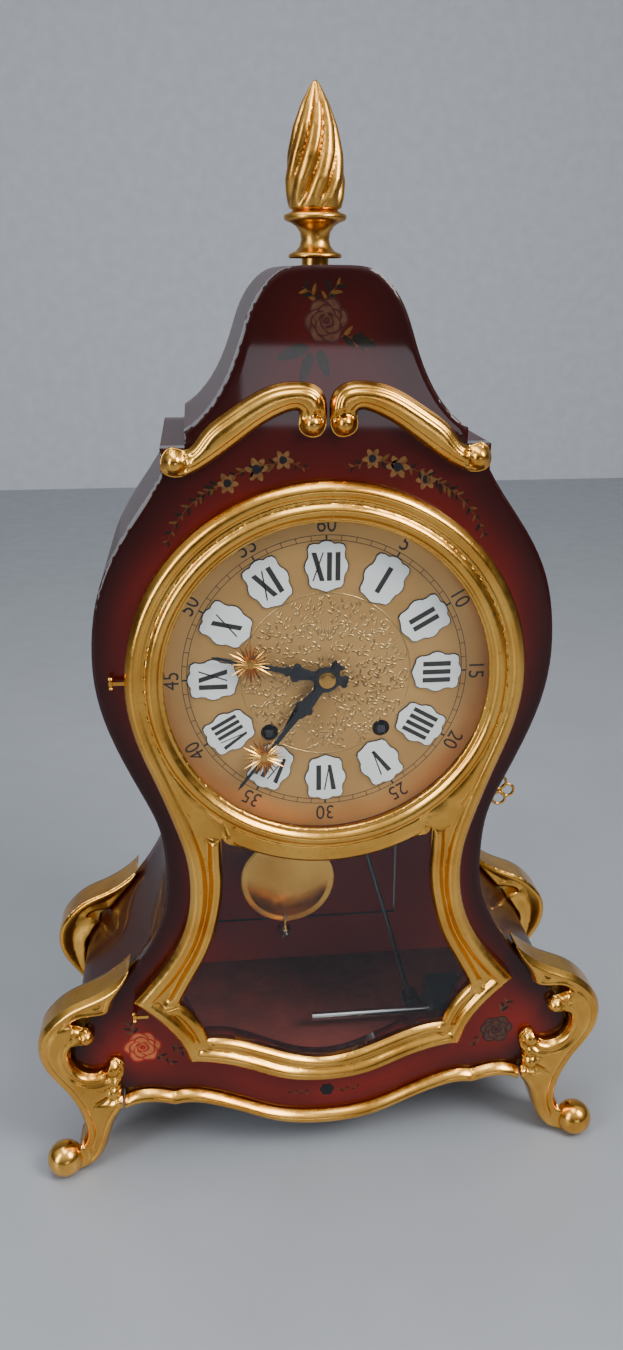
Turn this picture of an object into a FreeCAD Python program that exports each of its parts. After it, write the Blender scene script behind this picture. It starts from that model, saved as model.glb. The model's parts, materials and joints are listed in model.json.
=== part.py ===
"""Violin-shaped mantel clock on four cabriole feet, as separate pieces.

Frame: +X right, +Y towards the back, +Z up, millimetres.  The origin is on the table,
under the middle of the case.  Outlines are given about the dial centre, in the XZ plane.
"""
import FreeCAD, Part
import math
import os
from FreeCAD import Placement, Rotation, Vector

doc = FreeCAD.newDocument("mantel_clock")
NODES = []

# ----------------------------------------------------------------------------- dimensions
DIMENSIONS = [
    ("dial_height", 292.0),         # dial centre above the table
    ("front_y", -55.0),             # front face of the lacquered front panel
    ("case_depth", 110.0),          # front panel face to back panel face
    ("panel_thick", 9.0),
    ("wall_thick", 6.0),
    ("back_thick", 8.0),
    ("floor_thick", 8.0),
    ("ledge_thick", 10.0),
    ("frame_proud", 10.5),          # moulding height in front of the panel
    ("frame_gap", 0.3),             # air between the shut frame and the panel
    ("frame_rebate", 6.1),          # depth of the seat for the glass, from the back
    ("bezel_outer", 98.0),
    ("bezel_inner", 79.5),
    ("glass_thick", 1.4),
    ("panel_hole", 86.0),           # round opening of the front panel
    ("dial_front", 4.5),            # dial face behind the panel face
    ("dial_thick", 1.0),
    ("dial_radius", 84.0),
    ("badge_thick", 1.0),
    ("hand_thick", 0.8),
    ("hour_front", -0.6),
    ("minute_front", -2.2),
    ("star_thick", 0.5),
    ("mount_thick", 7.0),           # carved mounts in front of the panel
    ("skirt_thick", 6.0),
    ("foot_front", 8.0),
    ("foot_wrap", 12.0),            # how far a foot mount reaches back round its corner
    ("toe_radius", 10.0),
    ("plate_thick", 2.0),
    ("front_plate_y", 13.0),
    ("back_plate_y", 53.0),
    ("arbor_x", 28.3),              # winding arbors beside the dial centre
    ("arbor_drop", 29.6),
    ("winding_radius", 3.0),
    ("winding_hole", 4.45),
    ("pivot_radius", 1.25),
    ("running_gap", 0.05),
    ("hinge_x", -104.5),
    ("hinge_pin", 1.0),
    ("knuckle_radius", 2.3),
    ("back_hinge_x", -59.5),
    ("swing_height", 54.7),         # pendulum and anchor axis above the dial centre
    ("pendulum_y", 66.0),
    ("pendulum_length", 209.7),     # axis to the middle of the bob
    ("bob_radius", 28.0),
    ("rest_tilt", 4.1),             # pendulum leans left at rest, degrees
    ("rod_radius", 1.2),
    ("gong_y", 30.0),
    ("gong_drop", 226.0),
    ("gong_radius", 2.5),
    ("hammer_y", 40.0),
    ("hammer_drop", 64.0),
    ("key_y", 17.0),
    ("key_drop", 75.0),
    ("hour_angle", 283.5),          # clockwise from twelve, degrees
    ("minute_angle", 218.2),
]
sheet = doc.addObject("Spreadsheet::Sheet", "dims")
for row, (alias, value) in enumerate(DIMENSIONS, start=1):
    sheet.set("A%d" % row, alias)
    sheet.set("B%d" % row, str(value))
    sheet.setAlias("B%d" % row, alias)
doc.recompute()


def dim(alias):
    """Value of one driving dimension."""
    return float(sheet.get(alias))


DIAL_Z = dim("dial_height")
FRONT = dim("front_y")
DEPTH = dim("case_depth")
GAP = dim("running_gap")


# ------------------------------------------------------------------------------- outlines
# Right-hand halves about the dial centre, as (x, z).
CROWN_HALF = [(0, 189.8), (9, 189.7), (19.4, 188.1), (27.5, 182), (34, 172), (39.5, 156.7),
              (47, 139.5), (56.2, 127), (64.8, 120.2)]
LEDGE_INNER = (64.8, 113)
LEDGE_OUTER = (76, 113)
SHOULDER = (76, 101)
BODY_HALF = [SHOULDER, (84, 88.3), (95.5, 71.9), (106.8, 50), (112.3, 24.5), (113, 6), (110.3, -14),
             (102.5, -38), (92.8, -60.5), (86, -78), (83.3, -100), (84, -120), (89.3, -139),
             (107, -167.5), (130, -195.5), (138.5, -209), (141, -221), (139.5, -236), (137.5, -243)]
SKIRT_CUSP = (85.2, -254)
SKIRT_HALF = [(0, -275), (28.7, -271), (49.5, -262), (63, -256.5), (75, -253.3), SKIRT_CUSP]
SKIRT_ARCH = [SKIRT_CUSP, (94, -251.5), (103, -251), (113, -254.5)]
SKIRT_HEIGHT = 8.5
PANEL_UNDERCUT = 2.0

FRAME_JOIN = math.radians(-20)      # where the lower frame leaves the round bezel
FRAME_SIDE = [(84.5, -54), (77.3, -75.5), (72.3, -95), (71.2, -112), (73, -128), (79, -145.5),
              (88.5, -161), (104, -180.2)]
FRAME_EAR = [(104, -180.2), (91, -193.5), (81.5, -207), (76, -221.7)]
FRAME_FOOT = [(0, -241), (25, -237.5), (45, -229), (62, -223.5), (76, -221.7)]
WINDOW_SIDE = [(54.6, -98), (54.7, -114.5), (57.3, -130), (62.6, -148), (70, -163), (79.7, -182)]
WINDOW_EAR = [(79.7, -182), (71.2, -192), (64.8, -206.3)]
WINDOW_FOOT = [(0, -224.8), (28, -217.5), (50.5, -208.7), (64.8, -206.3)]

SCROLL_TOP = [(1.0, 122.5), (0.8, 131), (2.7, 137), (7.7, 140.6), (14.9, 141.5), (24.5, 140.2),
              (34.7, 135.8), (47, 128), (57, 119.8), (65.5, 112.5), (70.6, 113.9), (76, 107.2),
              (69.5, 100.2)]
SCROLL_UNDER = [(69.5, 100.2), (60.5, 102.3), (52.5, 107), (42.5, 114), (32, 121.5), (22.6, 126.8),
                (13.3, 128.4), (13.2, 121), (7.3, 117.1), (1.0, 122.5)]

FOOT_OUTER = [(105.8, -161), (114.5, -169), (126.5, -176.3), (140, -182.5), (150, -191),
              (155.5, -199), (157.5, -207), (156.3, -218), (150, -230), (144.5, -238.3)]
FOOT_LEG_OUTER = [(144.5, -238.3), (139.8, -248.5), (136.8, -258.5), (136.3, -268), (140, -277)]
FOOT_LEG_INNER = [(143, -290), (134.5, -290), (127.6, -283), (123.2, -272), (119.6, -261),
                  (115, -253)]
FOOT_RETURN = [(115, -253), (114, -246), (115, -238), (113, -229), (113, -221), (119, -219)]
FOOT_MOUTH = [(119, -219), (126, -227), (133, -226.5), (138, -222), (140.5, -213), (137.5, -206.5)]
FOOT_CURL = [(137.5, -206.5), (131, -207.5), (127, -203), (130, -198), (139, -194)]
FOOT_TOP = [(139, -194), (125.5, -188.5), (117.5, -186), (116, -182), (110, -171.5), (105.8, -161)]
TOE_CENTRE = (148.3, -282.6)
TOE_FORWARD = 6.0


def at_dial(points):
    """Outline points, moved from the dial centre to the table origin."""
    return [Vector(x, z + DIAL_Z, 0) for x, z in points]


def mirrored(points):
    """The left-hand twin of a right-hand run, in reverse order."""
    return [(-x, z) for x, z in reversed(points)]


def across(half):
    """A whole run from a right half that starts on the centre line."""
    return mirrored(half)[:-1] + list(half)


def curve(points):
    """A straight edge through two points, or a smooth curve through more."""
    if len(points) == 2:
        return Part.LineSegment(points[0], points[1])
    smooth = Part.BSplineCurve()
    smooth.interpolate(points)
    return smooth


def inset(points, distance):
    """Points moved sideways by distance, to the right of the way the run goes."""
    moved = []
    for index, (x, z) in enumerate(points):
        before = points[max(index - 1, 0)]
        after = points[min(index + 1, len(points) - 1)]
        along = Vector(after[0] - before[0], after[1] - before[1], 0).normalize()
        moved.append((x + along.y * distance, z - along.x * distance))
    return moved


def arc_points(radius, start, end, count):
    """Points on a circle about the dial centre; angles in degrees from +X."""
    step = (end - start) / (count - 1)
    return [(radius * math.cos(math.radians(start + step * i)),
             radius * math.sin(math.radians(start + step * i))) for i in range(count)]


def raised(points, height):
    """The same run, higher."""
    return [(x, z + height) for x, z in points]


# ----------------------------------------------------------------------------- body makers
def origin_plane(body, role):
    """One of a body's own origin planes."""
    return [f for f in body.Origin.OriginFeatures if f.Role == role][0]


def sketch_in(body, role, name, geometry):
    """A sketch on an origin plane of the body."""
    sketch = body.newObject("Sketcher::SketchObject", name)
    sketch.AttachmentSupport = (origin_plane(body, role), [""])
    sketch.MapMode = "FlatFace"
    sketch.addGeometry(geometry)
    return sketch


def new_body(label):
    """An empty body with its own label."""
    body = doc.addObject("PartDesign::Body", label)
    body.Label = label
    return body


def node(item, label=None):
    """Keep an object as one of the pieces that are written out."""
    if label:
        item.Label = label
    NODES.append(item)
    return item


def board(label, loops, thickness, back_y):
    """A flat piece in the XZ plane: outlines, thickness and the place of its back face.

    thickness and back_y are expressions; the pad grows towards the front.
    """
    body = new_body(label)
    geometry = []
    for loop in loops:
        for run in loop:
            geometry.append(run if isinstance(run, Part.Circle) else curve(at_dial(run)))
    sketch = sketch_in(body, "XZ_Plane", label + "_outline", geometry)
    pad = body.newObject("PartDesign::Pad", label + "_pad")
    pad.Profile = sketch
    pad.setExpression("Length", thickness)
    body.setExpression(".Placement.Base.y", back_y)
    return body


def disc_edge(radius, x=0.0, z=0.0):
    """A circle about a point given from the dial centre."""
    return [Part.Circle(Vector(x, z + DIAL_Z, 0), Vector(0, 0, 1), radius)]


def turned(label, profile, role, axis, place):
    """A turned piece: closed profile on an origin plane, revolved about a sketch axis."""
    body = new_body(label)
    corners = [Vector(a, b, 0) for a, b in profile]
    edges = [Part.LineSegment(corners[i - 1], corners[i]) for i in range(len(corners))]
    sketch = sketch_in(body, role, label + "_profile", edges)
    turn = body.newObject("PartDesign::Revolution", label + "_turn")
    turn.Profile = sketch
    turn.ReferenceAxis = (sketch, [axis])
    turn.Angle = 360
    body.Placement = Placement(place, Rotation())
    return body


def turned_along_y(label, profile, x=0.0, z=0.0):
    """Turned about an axis that runs front to back; profile as (radius, y from the panel)."""
    return turned(label, profile, "XY_Plane", "V_Axis", Vector(x, FRONT, z + DIAL_Z))


def box(label, low, high):
    """A box from two corners, x and z about the dial centre, y from the panel face."""
    item = doc.addObject("Part::Box", label)
    item.Length = high[0] - low[0]
    item.Width = high[1] - low[1]
    item.Height = high[2] - low[2]
    item.Placement.Base = Vector(low[0], low[1] + FRONT, low[2] + DIAL_Z)
    return item


AXES = {"x": Vector(1, 0, 0), "y": Vector(0, 1, 0), "z": Vector(0, 0, 1)}


def rod(label, radius, length, start, along):
    """A round bar from a start point, along an axis name or a direction."""
    item = doc.addObject("Part::Cylinder", label)
    if isinstance(radius, str):
        item.setExpression("Radius", radius)
    else:
        item.Radius = radius
    item.Height = length
    way = AXES[along] if isinstance(along, str) else along
    item.Placement = Placement(Vector(start[0], start[1] + FRONT, start[2] + DIAL_Z),
                               Rotation(Vector(0, 0, 1), way))
    return item


def ball(label, radius, centre):
    """A ball, centre as for box."""
    item = doc.addObject("Part::Sphere", label)
    item.Radius = radius
    item.Placement.Base = Vector(centre[0], centre[1] + FRONT, centre[2] + DIAL_Z)
    return item


def joined(label, items):
    """Several overlapping solids as one."""
    fuse = doc.addObject("Part::MultiFuse", label)
    fuse.Shapes = items
    fuse.Label = label
    return fuse


def cut(label, base, tool):
    """One solid less another."""
    item = doc.addObject("Part::Cut", label)
    item.Base = base
    item.Tool = tool
    item.Label = label
    return item


def mirror(label, source, normal):
    """A mirror image about the middle of the case."""
    item = doc.addObject("Part::Mirroring", label)
    item.Source = source
    item.Normal = normal
    item.Label = label
    return item


def group(label, shapes):
    """Separate solids that share one node, such as identical fittings."""
    item = doc.addObject("Part::Feature", label)
    item.Shape = Part.makeCompound(shapes)
    item.Label = label
    return item


# ------------------------------------------------------------------------------- the case
def panel_loop():
    """Outer edge of the front panel, clockwise from the crown's left corner."""
    bottom = raised(SKIRT_HALF, PANEL_UNDERCUT)
    arch = raised(SKIRT_ARCH, PANEL_UNDERCUT)
    corner = (arch[-1][0], BODY_HALF[-1][1])
    shelf = [BODY_HALF[-1], corner]
    step = [corner, arch[-1]]
    return [across(CROWN_HALF), [CROWN_HALF[-1], LEDGE_INNER], [LEDGE_INNER, LEDGE_OUTER],
            [LEDGE_OUTER, SHOULDER], BODY_HALF, shelf, step, arch, across(bottom),
            mirrored(arch), mirrored(step), mirrored(shelf), mirrored(BODY_HALF),
            mirrored([LEDGE_OUTER, SHOULDER]), mirrored([LEDGE_INNER, LEDGE_OUTER]),
            mirrored([CROWN_HALF[-1], LEDGE_INNER])]


def panel_opening():
    """Dial hole running down into the pendulum window, under the middle of the frame."""
    grow = 5.0
    side = inset(WINDOW_SIDE, -grow)
    ear = [side[-1], (74.8, -194), (70, -211)]
    foot = [(0, -231), (26, -224.5), (48, -214), (70, -211)]
    top = math.degrees(math.atan2(-62, math.sqrt(dim("panel_hole") ** 2 - 62 ** 2)))
    hole = arc_points(dim("panel_hole"), 90, top, 9)
    return [mirrored(hole)[:-1] + hole, [hole[-1], side[0]], side, ear, across(foot),
            mirrored(ear), mirrored(side), mirrored([hole[-1], side[0]])]


def make_case():
    """Front and back panels, bent side walls, crown, ledge and floor."""
    node(board("front_panel", [panel_loop(), panel_opening()], "dims.panel_thick",
               "dims.front_y + dims.panel_thick"))
    wall = dim("wall_thick")
    between = "dims.case_depth - dims.panel_thick - dims.back_thick"
    inner_end = "dims.front_y + dims.case_depth - dims.back_thick"
    inner = inset(BODY_HALF, wall)
    inner[0] = (SHOULDER[0] - wall, SHOULDER[1])
    inner[-1] = (BODY_HALF[-1][0] - wall, BODY_HALF[-1][1])
    right = [BODY_HALF, [BODY_HALF[-1], inner[-1]], inner[::-1], [inner[0], SHOULDER]]
    node(board("side_wall_right", [right], between, inner_end))
    left = [mirrored(run) for run in right[::-1]]
    node(board("side_wall_left", [left], between, inner_end))

    crown = across(CROWN_HALF)
    crown_in = inset(crown, wall)
    crown_in[0] = (-CROWN_HALF[-1][0] + wall, LEDGE_INNER[1])
    crown_in[-1] = (CROWN_HALF[-1][0] - wall, LEDGE_INNER[1])
    foot_out = (CROWN_HALF[-1][0], LEDGE_INNER[1])
    loop = [crown, [crown[-1], foot_out], [foot_out, crown_in[-1]], crown_in[::-1],
            [crown_in[0], (-foot_out[0], foot_out[1])], [(-foot_out[0], foot_out[1]), crown[0]]]
    node(board("crown_cover", [loop], between, inner_end))

    ledge_low = LEDGE_OUTER[1] - dim("ledge_thick") - 2
    ledge_x = LEDGE_OUTER[0]
    clear = 50.0
    for side, name in ((1, "right"), (-1, "left")):
        low_x, high_x = sorted((side * clear, side * ledge_x))
        ledge = box("ledge_" + name, (low_x, dim("panel_thick"), ledge_low),
                    (high_x, DEPTH - dim("back_thick"), LEDGE_OUTER[1]))
        ledge.setExpression("Width", between)
    node(joined("shoulder_ledges", [doc.getObject("ledge_right"), doc.getObject("ledge_left")]))

    floor_low = BODY_HALF[-1][1]
    floor_x = 131.0
    floor = box("floor_board", (-floor_x, dim("panel_thick"), floor_low),
                (floor_x, DEPTH - dim("back_thick"), floor_low + dim("floor_thick")))
    floor.setExpression("Height", "dims.floor_thick")
    floor.setExpression("Width", between)
    node(floor)


BACK_DOOR_X = 58.0
BACK_DOOR_LOW = -205.0
BACK_DOOR_TOP = 8.0


def arched_loop(half, low, spring):
    """Upright opening with a round top."""
    arch = raised(arc_points(half, 180, 0, 9), spring)
    return [arch, [arch[-1], (half, low)], [(half, low), (-half, low)], [(-half, low), arch[0]]]


def make_back():
    """Back panel with an arched opening, and the door that fills it."""
    outline = [across(CROWN_HALF), [CROWN_HALF[-1], LEDGE_INNER], [LEDGE_INNER, LEDGE_OUTER],
               [LEDGE_OUTER, SHOULDER], BODY_HALF, [BODY_HALF[-1], (-BODY_HALF[-1][0], -243)],
               mirrored(BODY_HALF), mirrored([LEDGE_OUTER, SHOULDER]),
               mirrored([LEDGE_INNER, LEDGE_OUTER]), mirrored([CROWN_HALF[-1], LEDGE_INNER])]
    back_y = "dims.front_y + dims.case_depth"
    node(board("back_panel", [outline, arched_loop(BACK_DOOR_X, BACK_DOOR_LOW, BACK_DOOR_TOP)],
               "dims.back_thick", back_y))
    margin = 1.0
    leaf = arched_loop(BACK_DOOR_X - margin, BACK_DOOR_LOW + margin, BACK_DOOR_TOP)
    sound_holes = [disc_edge(5.0, 16 * math.cos(math.radians(60 * i)),
                             16 * math.sin(math.radians(60 * i))) for i in range(6)]
    spindle_hole = [disc_edge(2.0 + GAP, BACK_KNOB[0], BACK_KNOB[1])]
    node(board("back_door", [leaf] + sound_holes + [disc_edge(5.0)] + spindle_hole,
               "dims.back_thick - 1", back_y))


BACK_KNOB = (48.0, -60.0)


def make_back_catch():
    """Turned knob, its spindle through the door and the tongue behind the panel."""
    x, z = BACK_KNOB
    knob = turned_along_y("back_knob_turning", [
        (0, DEPTH - 9.6), (2, DEPTH - 9.6), (2, DEPTH + 0.4), (5, DEPTH + 0.4), (5, DEPTH + 2),
        (2.6, DEPTH + 4), (2.6, DEPTH + 6), (6, DEPTH + 9), (6.5, DEPTH + 12), (4.5, DEPTH + 14.5),
        (0, DEPTH + 15)], x, z)
    tongue = box("back_tongue", (x - 4, DEPTH - 9.8, z - 17), (x + 4, DEPTH - 8.3, z + 4))
    node(joined("back_catch", [knob, tongue]))


# ------------------------------------------------------------------- gilt frame and glasses
def frame_side_run():
    """Right outer edge of the frame: round bezel, then down the waist to the ear."""
    angle = math.degrees(FRAME_JOIN)
    bezel = arc_points(dim("bezel_outer"), 90, angle, 9)
    return bezel + FRAME_SIDE


def window_loop(grow):
    """Edge of the pendulum window; grow widens it for the glass seat."""
    side = inset(WINDOW_SIDE, -grow)
    rim = dim("bezel_outer") + 0.5 - grow
    start_x = side[0][0]
    start_angle = math.degrees(math.acos(start_x / rim))
    arch = arc_points(rim, start_angle - 180, -start_angle, 7)
    ear = [(x + grow * 0.9, z - grow * 0.35) for x, z in WINDOW_EAR]
    ear[0] = side[-1]
    foot = [(x, z - grow) for x, z in WINDOW_FOOT]
    foot[-1] = ear[-1]
    return [arch, [arch[-1], side[0]], side, ear, across(foot)[::-1], mirrored(ear),
            mirrored(side), mirrored([arch[-1], side[0]])]


def make_door():
    """Moulded frame, hinged on the left, with a round glass and a pendulum glass."""
    side = frame_side_run()
    outer = [mirrored(side)[:-1] + side, FRAME_EAR, across(FRAME_FOOT)[::-1], mirrored(FRAME_EAR)]
    frame = board("door_frame", [outer, disc_edge(dim("bezel_inner")), window_loop(0)],
                  "dims.frame_proud - dims.frame_gap", "dims.front_y - dims.frame_gap")
    seat_radius = dim("bezel_inner") + 2.5
    seat_grow = 2.5
    for name, loop in (("dial_seat", disc_edge(seat_radius)), ("window_seat", window_loop(seat_grow))):
        edges = [run if isinstance(run, Part.Circle) else curve(at_dial(run)) for run in loop]
        sketch = sketch_in(frame, "XZ_Plane", name, edges)
        doc.recompute()
        solid = frame.Shape.Volume
        seat = frame.newObject("PartDesign::Pocket", name + "_pocket")
        seat.Profile = sketch
        seat.setExpression("Length", "dims.frame_rebate")
        seat.Reversed = True
        doc.recompute()
        if seat.Shape.Volume >= solid:
            seat.Reversed = False
            doc.recompute()
    node(frame)
    back = "dims.front_y - dims.frame_gap - dims.frame_rebate + dims.glass_thick"
    node(board("dial_glass", [disc_edge(seat_radius - 0.2)], "dims.glass_thick", back))
    node(board("window_glass", [window_loop(seat_grow - 0.3)], "dims.glass_thick", back))


HINGE_HEIGHTS = (0.0, -194.0)       # lower ends of the two front knuckles
KNUCKLE_LENGTH = 10.0
ARM_REACH = 14.0


def make_front_hinges():
    """Two pin posts on the panel and two knuckles on the frame, and the lock's striker."""
    doc.recompute()
    frame = doc.getObject("door_frame")
    x = dim("hinge_x")
    y = -4.0
    posts = []
    knuckles = []
    pin = dim("hinge_pin")
    reach = dim("knuckle_radius")
    for low in HINGE_HEIGHTS:
        base = Vector(x, y + FRONT, low + DIAL_Z)
        post = Part.makeCylinder(reach, 3, base - Vector(0, 0, 3.3))
        foot = Part.makeBox(2 * reach, -y, 3, base - Vector(reach, 0, 3.3))
        stud = Part.makeCylinder(pin, KNUCKLE_LENGTH + 2.3, base - Vector(0, 0, 3.3))
        posts.append(post.fuse([foot, stud]))
        barrel = Part.makeCylinder(reach, KNUCKLE_LENGTH, base)
        arm = Part.makeBox(ARM_REACH, 2.4, KNUCKLE_LENGTH, base + Vector(0, -1.2, 0))
        bore = Part.makeCylinder(pin + GAP, KNUCKLE_LENGTH + 2, base - Vector(0, 0, 1))
        knuckles.append(barrel.fuse(arm).cut([bore, frame.Shape]))
    x = dim("back_hinge_x")
    for low in (BACK_HINGE_LOW, BACK_HINGE_HIGH):
        base = Vector(x, DEPTH + 3.0 + FRONT, low + DIAL_Z)
        post = Part.makeCylinder(reach, 3, base - Vector(0, 0, 3.3))
        foot = Part.makeBox(8, 1.2, 6, base + Vector(-10, -3.0, -6.3))
        arm = Part.makeBox(3, 3, 3, base + Vector(-3, -3.0, -3.3))
        stud = Part.makeCylinder(pin, KNUCKLE_LENGTH + 2.3, base - Vector(0, 0, 3.3))
        posts.append(post.fuse([foot, arm, stud]))
    node(group("hinge_posts", posts))
    striker = Part.makeBox(1.5, 22, 12, Vector(56, -0.3 + FRONT, -81 + DIAL_Z))
    slot = Part.makeBox(3, 7, 8, Vector(55, 13.5 + FRONT, -79 + DIAL_Z))
    node(group("door_fittings", knuckles + [striker.cut(slot)]))


BACK_HINGE_LOW = -180.0
BACK_HINGE_HIGH = -10.0


def make_back_knuckles():
    """Knuckles and leaves screwed to the back door."""
    x = dim("back_hinge_x")
    shapes = []
    for low in (BACK_HINGE_LOW, BACK_HINGE_HIGH):
        base = Vector(x, DEPTH + 3.0 + FRONT, low + DIAL_Z)
        barrel = Part.makeCylinder(dim("knuckle_radius"), KNUCKLE_LENGTH, base)
        leaf = Part.makeBox(14, 1.0, KNUCKLE_LENGTH, base + Vector(0, -3.0 + 0.3, 0))
        web = Part.makeBox(2.2, 2.7, KNUCKLE_LENGTH, base + Vector(0, -2.7, 0))
        pad = Part.makeBox(10, 0.7, KNUCKLE_LENGTH, base + Vector(4, -3.0, 0))
        bore = Part.makeCylinder(dim("hinge_pin") + GAP, KNUCKLE_LENGTH + 2, base - Vector(0, 0, 1))
        shapes.append(barrel.fuse([leaf, web, pad]).cut(bore))
    node(group("back_knuckles", shapes))


# ------------------------------------------------------------------------------ gilt mounts
def make_mounts():
    """Top scrolls, skirt moulding and the four foot mounts."""
    right = [SCROLL_TOP, SCROLL_UNDER]
    node(board("scroll_mount_right", [right], "dims.mount_thick", "dims.front_y"))
    node(board("scroll_mount_left", [[mirrored(run) for run in right[::-1]]], "dims.mount_thick",
               "dims.front_y"))
    top_arch = raised(SKIRT_ARCH, SKIRT_HEIGHT)
    top_half = raised(SKIRT_HALF, SKIRT_HEIGHT)
    ends = [SKIRT_ARCH[-1], top_arch[-1]]
    loop = [across(SKIRT_HALF), SKIRT_ARCH, ends, top_arch[::-1], across(top_half)[::-1],
            mirrored(top_arch)[::-1], mirrored(ends)[::-1], mirrored(SKIRT_ARCH)]
    node(board("skirt_moulding", [loop], "dims.skirt_thick", "dims.front_y"))

    envelope = board("case_envelope", [[BODY_HALF, [BODY_HALF[-1], (-BODY_HALF[-1][0], -243)],
                                        mirrored(BODY_HALF), [(-76, 101), (76, 101)]]],
                     "dims.case_depth", "dims.front_y + dims.case_depth")
    foot = [FOOT_OUTER, FOOT_LEG_OUTER, [FOOT_LEG_OUTER[-1], FOOT_LEG_INNER[0]], FOOT_LEG_INNER,
            FOOT_RETURN, FOOT_MOUTH, FOOT_CURL, FOOT_TOP]
    plate = board("foot_plate", [foot], "dims.foot_front + dims.foot_wrap",
                  "dims.front_y + dims.foot_wrap")
    toe = ball("foot_toe", 1, (TOE_CENTRE[0], -TOE_FORWARD, TOE_CENTRE[1]))
    toe.setExpression("Radius", "dims.toe_radius")
    blank = joined("foot_blank", [plate, toe])
    # the wrap keeps clear of the wood, and the toe stands on a small flat
    table = box("table_top", (100, -40, -310), (170, 40, -DIAL_Z))
    clear = joined("foot_clearance", [envelope, table])
    right_foot = node(cut("front_foot_right", blank, clear))
    node(mirror("front_foot_left", right_foot, Vector(1, 0, 0)))
    back_right = node(mirror("back_foot_right", right_foot, Vector(0, 1, 0)))
    node(mirror("back_foot_left", back_right, Vector(1, 0, 0)))


def make_finial():
    """Turned pedestal with a flame, on a spigot through the crown."""
    top = CROWN_HALF[0][1]
    flame = [(10.2, 24.2), (12.2, 31), (13.3, 39), (12.4, 48), (9.6, 57.5), (5.6, 67), (2.2, 74.5)]
    profile = [(0, 0), (6.5, 0), (6.5, 3), (12.6, 3), (12.8, 5), (9, 6.5), (6.8, 11), (7.2, 15),
               (10.5, 18.5), (14.8, 20.5), (14.9, 22.2), (11.5, 23.4)] + flame + [(0, 78)]
    finial = turned("finial", profile, "XZ_Plane", "V_Axis",
                    Vector(0, FRONT + DEPTH / 2, top + DIAL_Z))
    node(finial)


# ------------------------------------------------------------------------- dial and hands
def clock_place(angle, radius, y):
    """Placement of a piece drawn upright about its own origin, carried round the dial."""
    turn = Rotation(Vector(0, 1, 0), angle)
    return Placement(turn.multVec(Vector(0, 0, radius)) + Vector(0, y + FRONT, DIAL_Z), turn)


def prism(points, thickness):
    """An upright outline in XZ, thickened towards the front."""
    wire = Part.makePolygon([Vector(x, 0, z) for x, z in points + points[:1]])
    return Part.Face(wire).extrude(Vector(0, -thickness, 0))


def make_dial():
    """Dial plate with its feet, and the twelve enamel badges."""
    plate = Part.makeCylinder(dim("dial_radius"), dim("dial_thick"), Vector(0, 0, 0),
                              Vector(0, 1, 0))
    for angle in (35, 145, 215, 325):
        x = 70 * math.cos(math.radians(angle)) * 0.62
        z = 70 * math.sin(math.radians(angle)) * 0.86
        length = dim("front_plate_y") - dim("dial_front")
        plate = plate.fuse(Part.makeCylinder(1.5, length, Vector(x, 0, z), Vector(0, 1, 0)))
    holes = [Part.makeCylinder(3.6, 5, Vector(0, -1, 0), Vector(0, 1, 0))]
    for side in (-1, 1):
        at = Vector(side * dim("arbor_x"), -1, -dim("arbor_drop"))
        holes.append(Part.makeCylinder(dim("winding_hole"), 5, at, Vector(0, 1, 0)))
    dial = doc.addObject("Part::Feature", "dial_plate")
    dial.Shape = plate.cut(holes)
    dial.Placement = Placement(Vector(0, dim("dial_front") + FRONT, DIAL_Z), Rotation())
    node(dial, "dial_plate")

    shield = [(0, 12.5), (3.4, 11), (9, 12.2), (10.3, 6), (9, 0), (10.2, -6), (6.4, -10.4),
              (0, -12.5)]
    shield += [(-x, z) for x, z in shield[-2:0:-1]]
    badges = []
    for hour in range(12):
        badge = prism(shield, dim("badge_thick"))
        badge.Placement = clock_place(30 * hour, BADGE_RADIUS, dim("dial_front"))
        badges.append(badge)
    node(group("numeral_badges", badges))


BADGE_RADIUS = 55.7
HOUR_LENGTH = 57.7
MINUTE_LENGTH = 73.3
HOUR_STAR = 38.4
MINUTE_STAR = 51.2
STAR_RADIUS = 10.5
STAR_RAYS = 20
HAND_TAIL = 10.0


def hand_shape(length, bore, boss):
    """A tapering hand with a boss and a short tail."""
    blade = prism([(-2.4, 0), (-1.6, length * 0.6), (-0.4, length), (0.4, length),
                   (1.6, length * 0.6), (2.4, 0), (1.2, -HAND_TAIL), (-1.2, -HAND_TAIL)],
                  dim("hand_thick"))
    hub = Part.makeCylinder(boss, dim("hand_thick"), Vector(0, 0, 0), Vector(0, -1, 0))
    hole = Part.makeCylinder(bore, 3, Vector(0, 1, 0), Vector(0, -1, 0))
    return blade.fuse(hub).cut(hole)


def star_shape():
    """A flat sunburst."""
    points = []
    for i in range(2 * STAR_RAYS):
        radius = STAR_RADIUS if i % 2 == 0 else STAR_RADIUS * 0.55
        angle = math.pi * i / STAR_RAYS
        points.append((radius * math.sin(angle), radius * math.cos(angle)))
    return prism(points, dim("star_thick"))


def make_hands():
    """Hour and minute hands with their sunbursts, and the nut."""
    tube = {"hour": 3.0, "minute": 2.2}
    settings = (("hour", HOUR_LENGTH, HOUR_STAR, "hour_front", "hour_angle"),
                ("minute", MINUTE_LENGTH, MINUTE_STAR, "minute_front", "minute_angle"))
    for name, length, star_at, front, angle in settings:
        face = dim(front)
        hand = doc.addObject("Part::Feature", name + "_hand")
        hand.Shape = hand_shape(length, tube[name], tube[name] + 2.6)
        hand.Placement = clock_place(dim(angle), 0, face + dim("hand_thick"))
        node(hand, name + "_hand")
        star = doc.addObject("Part::Feature", name + "_sunburst")
        star.Shape = star_shape()
        star.Placement = clock_place(dim(angle), star_at, face)
        node(star, name + "_sunburst")
    face = dim("minute_front")
    node(turned_along_y("hand_nut", [(0, face - 1.8), (2.6, face - 1.6), (4.1, face - 1.0),
                                     (4.3, face), (0, face)]))


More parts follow.
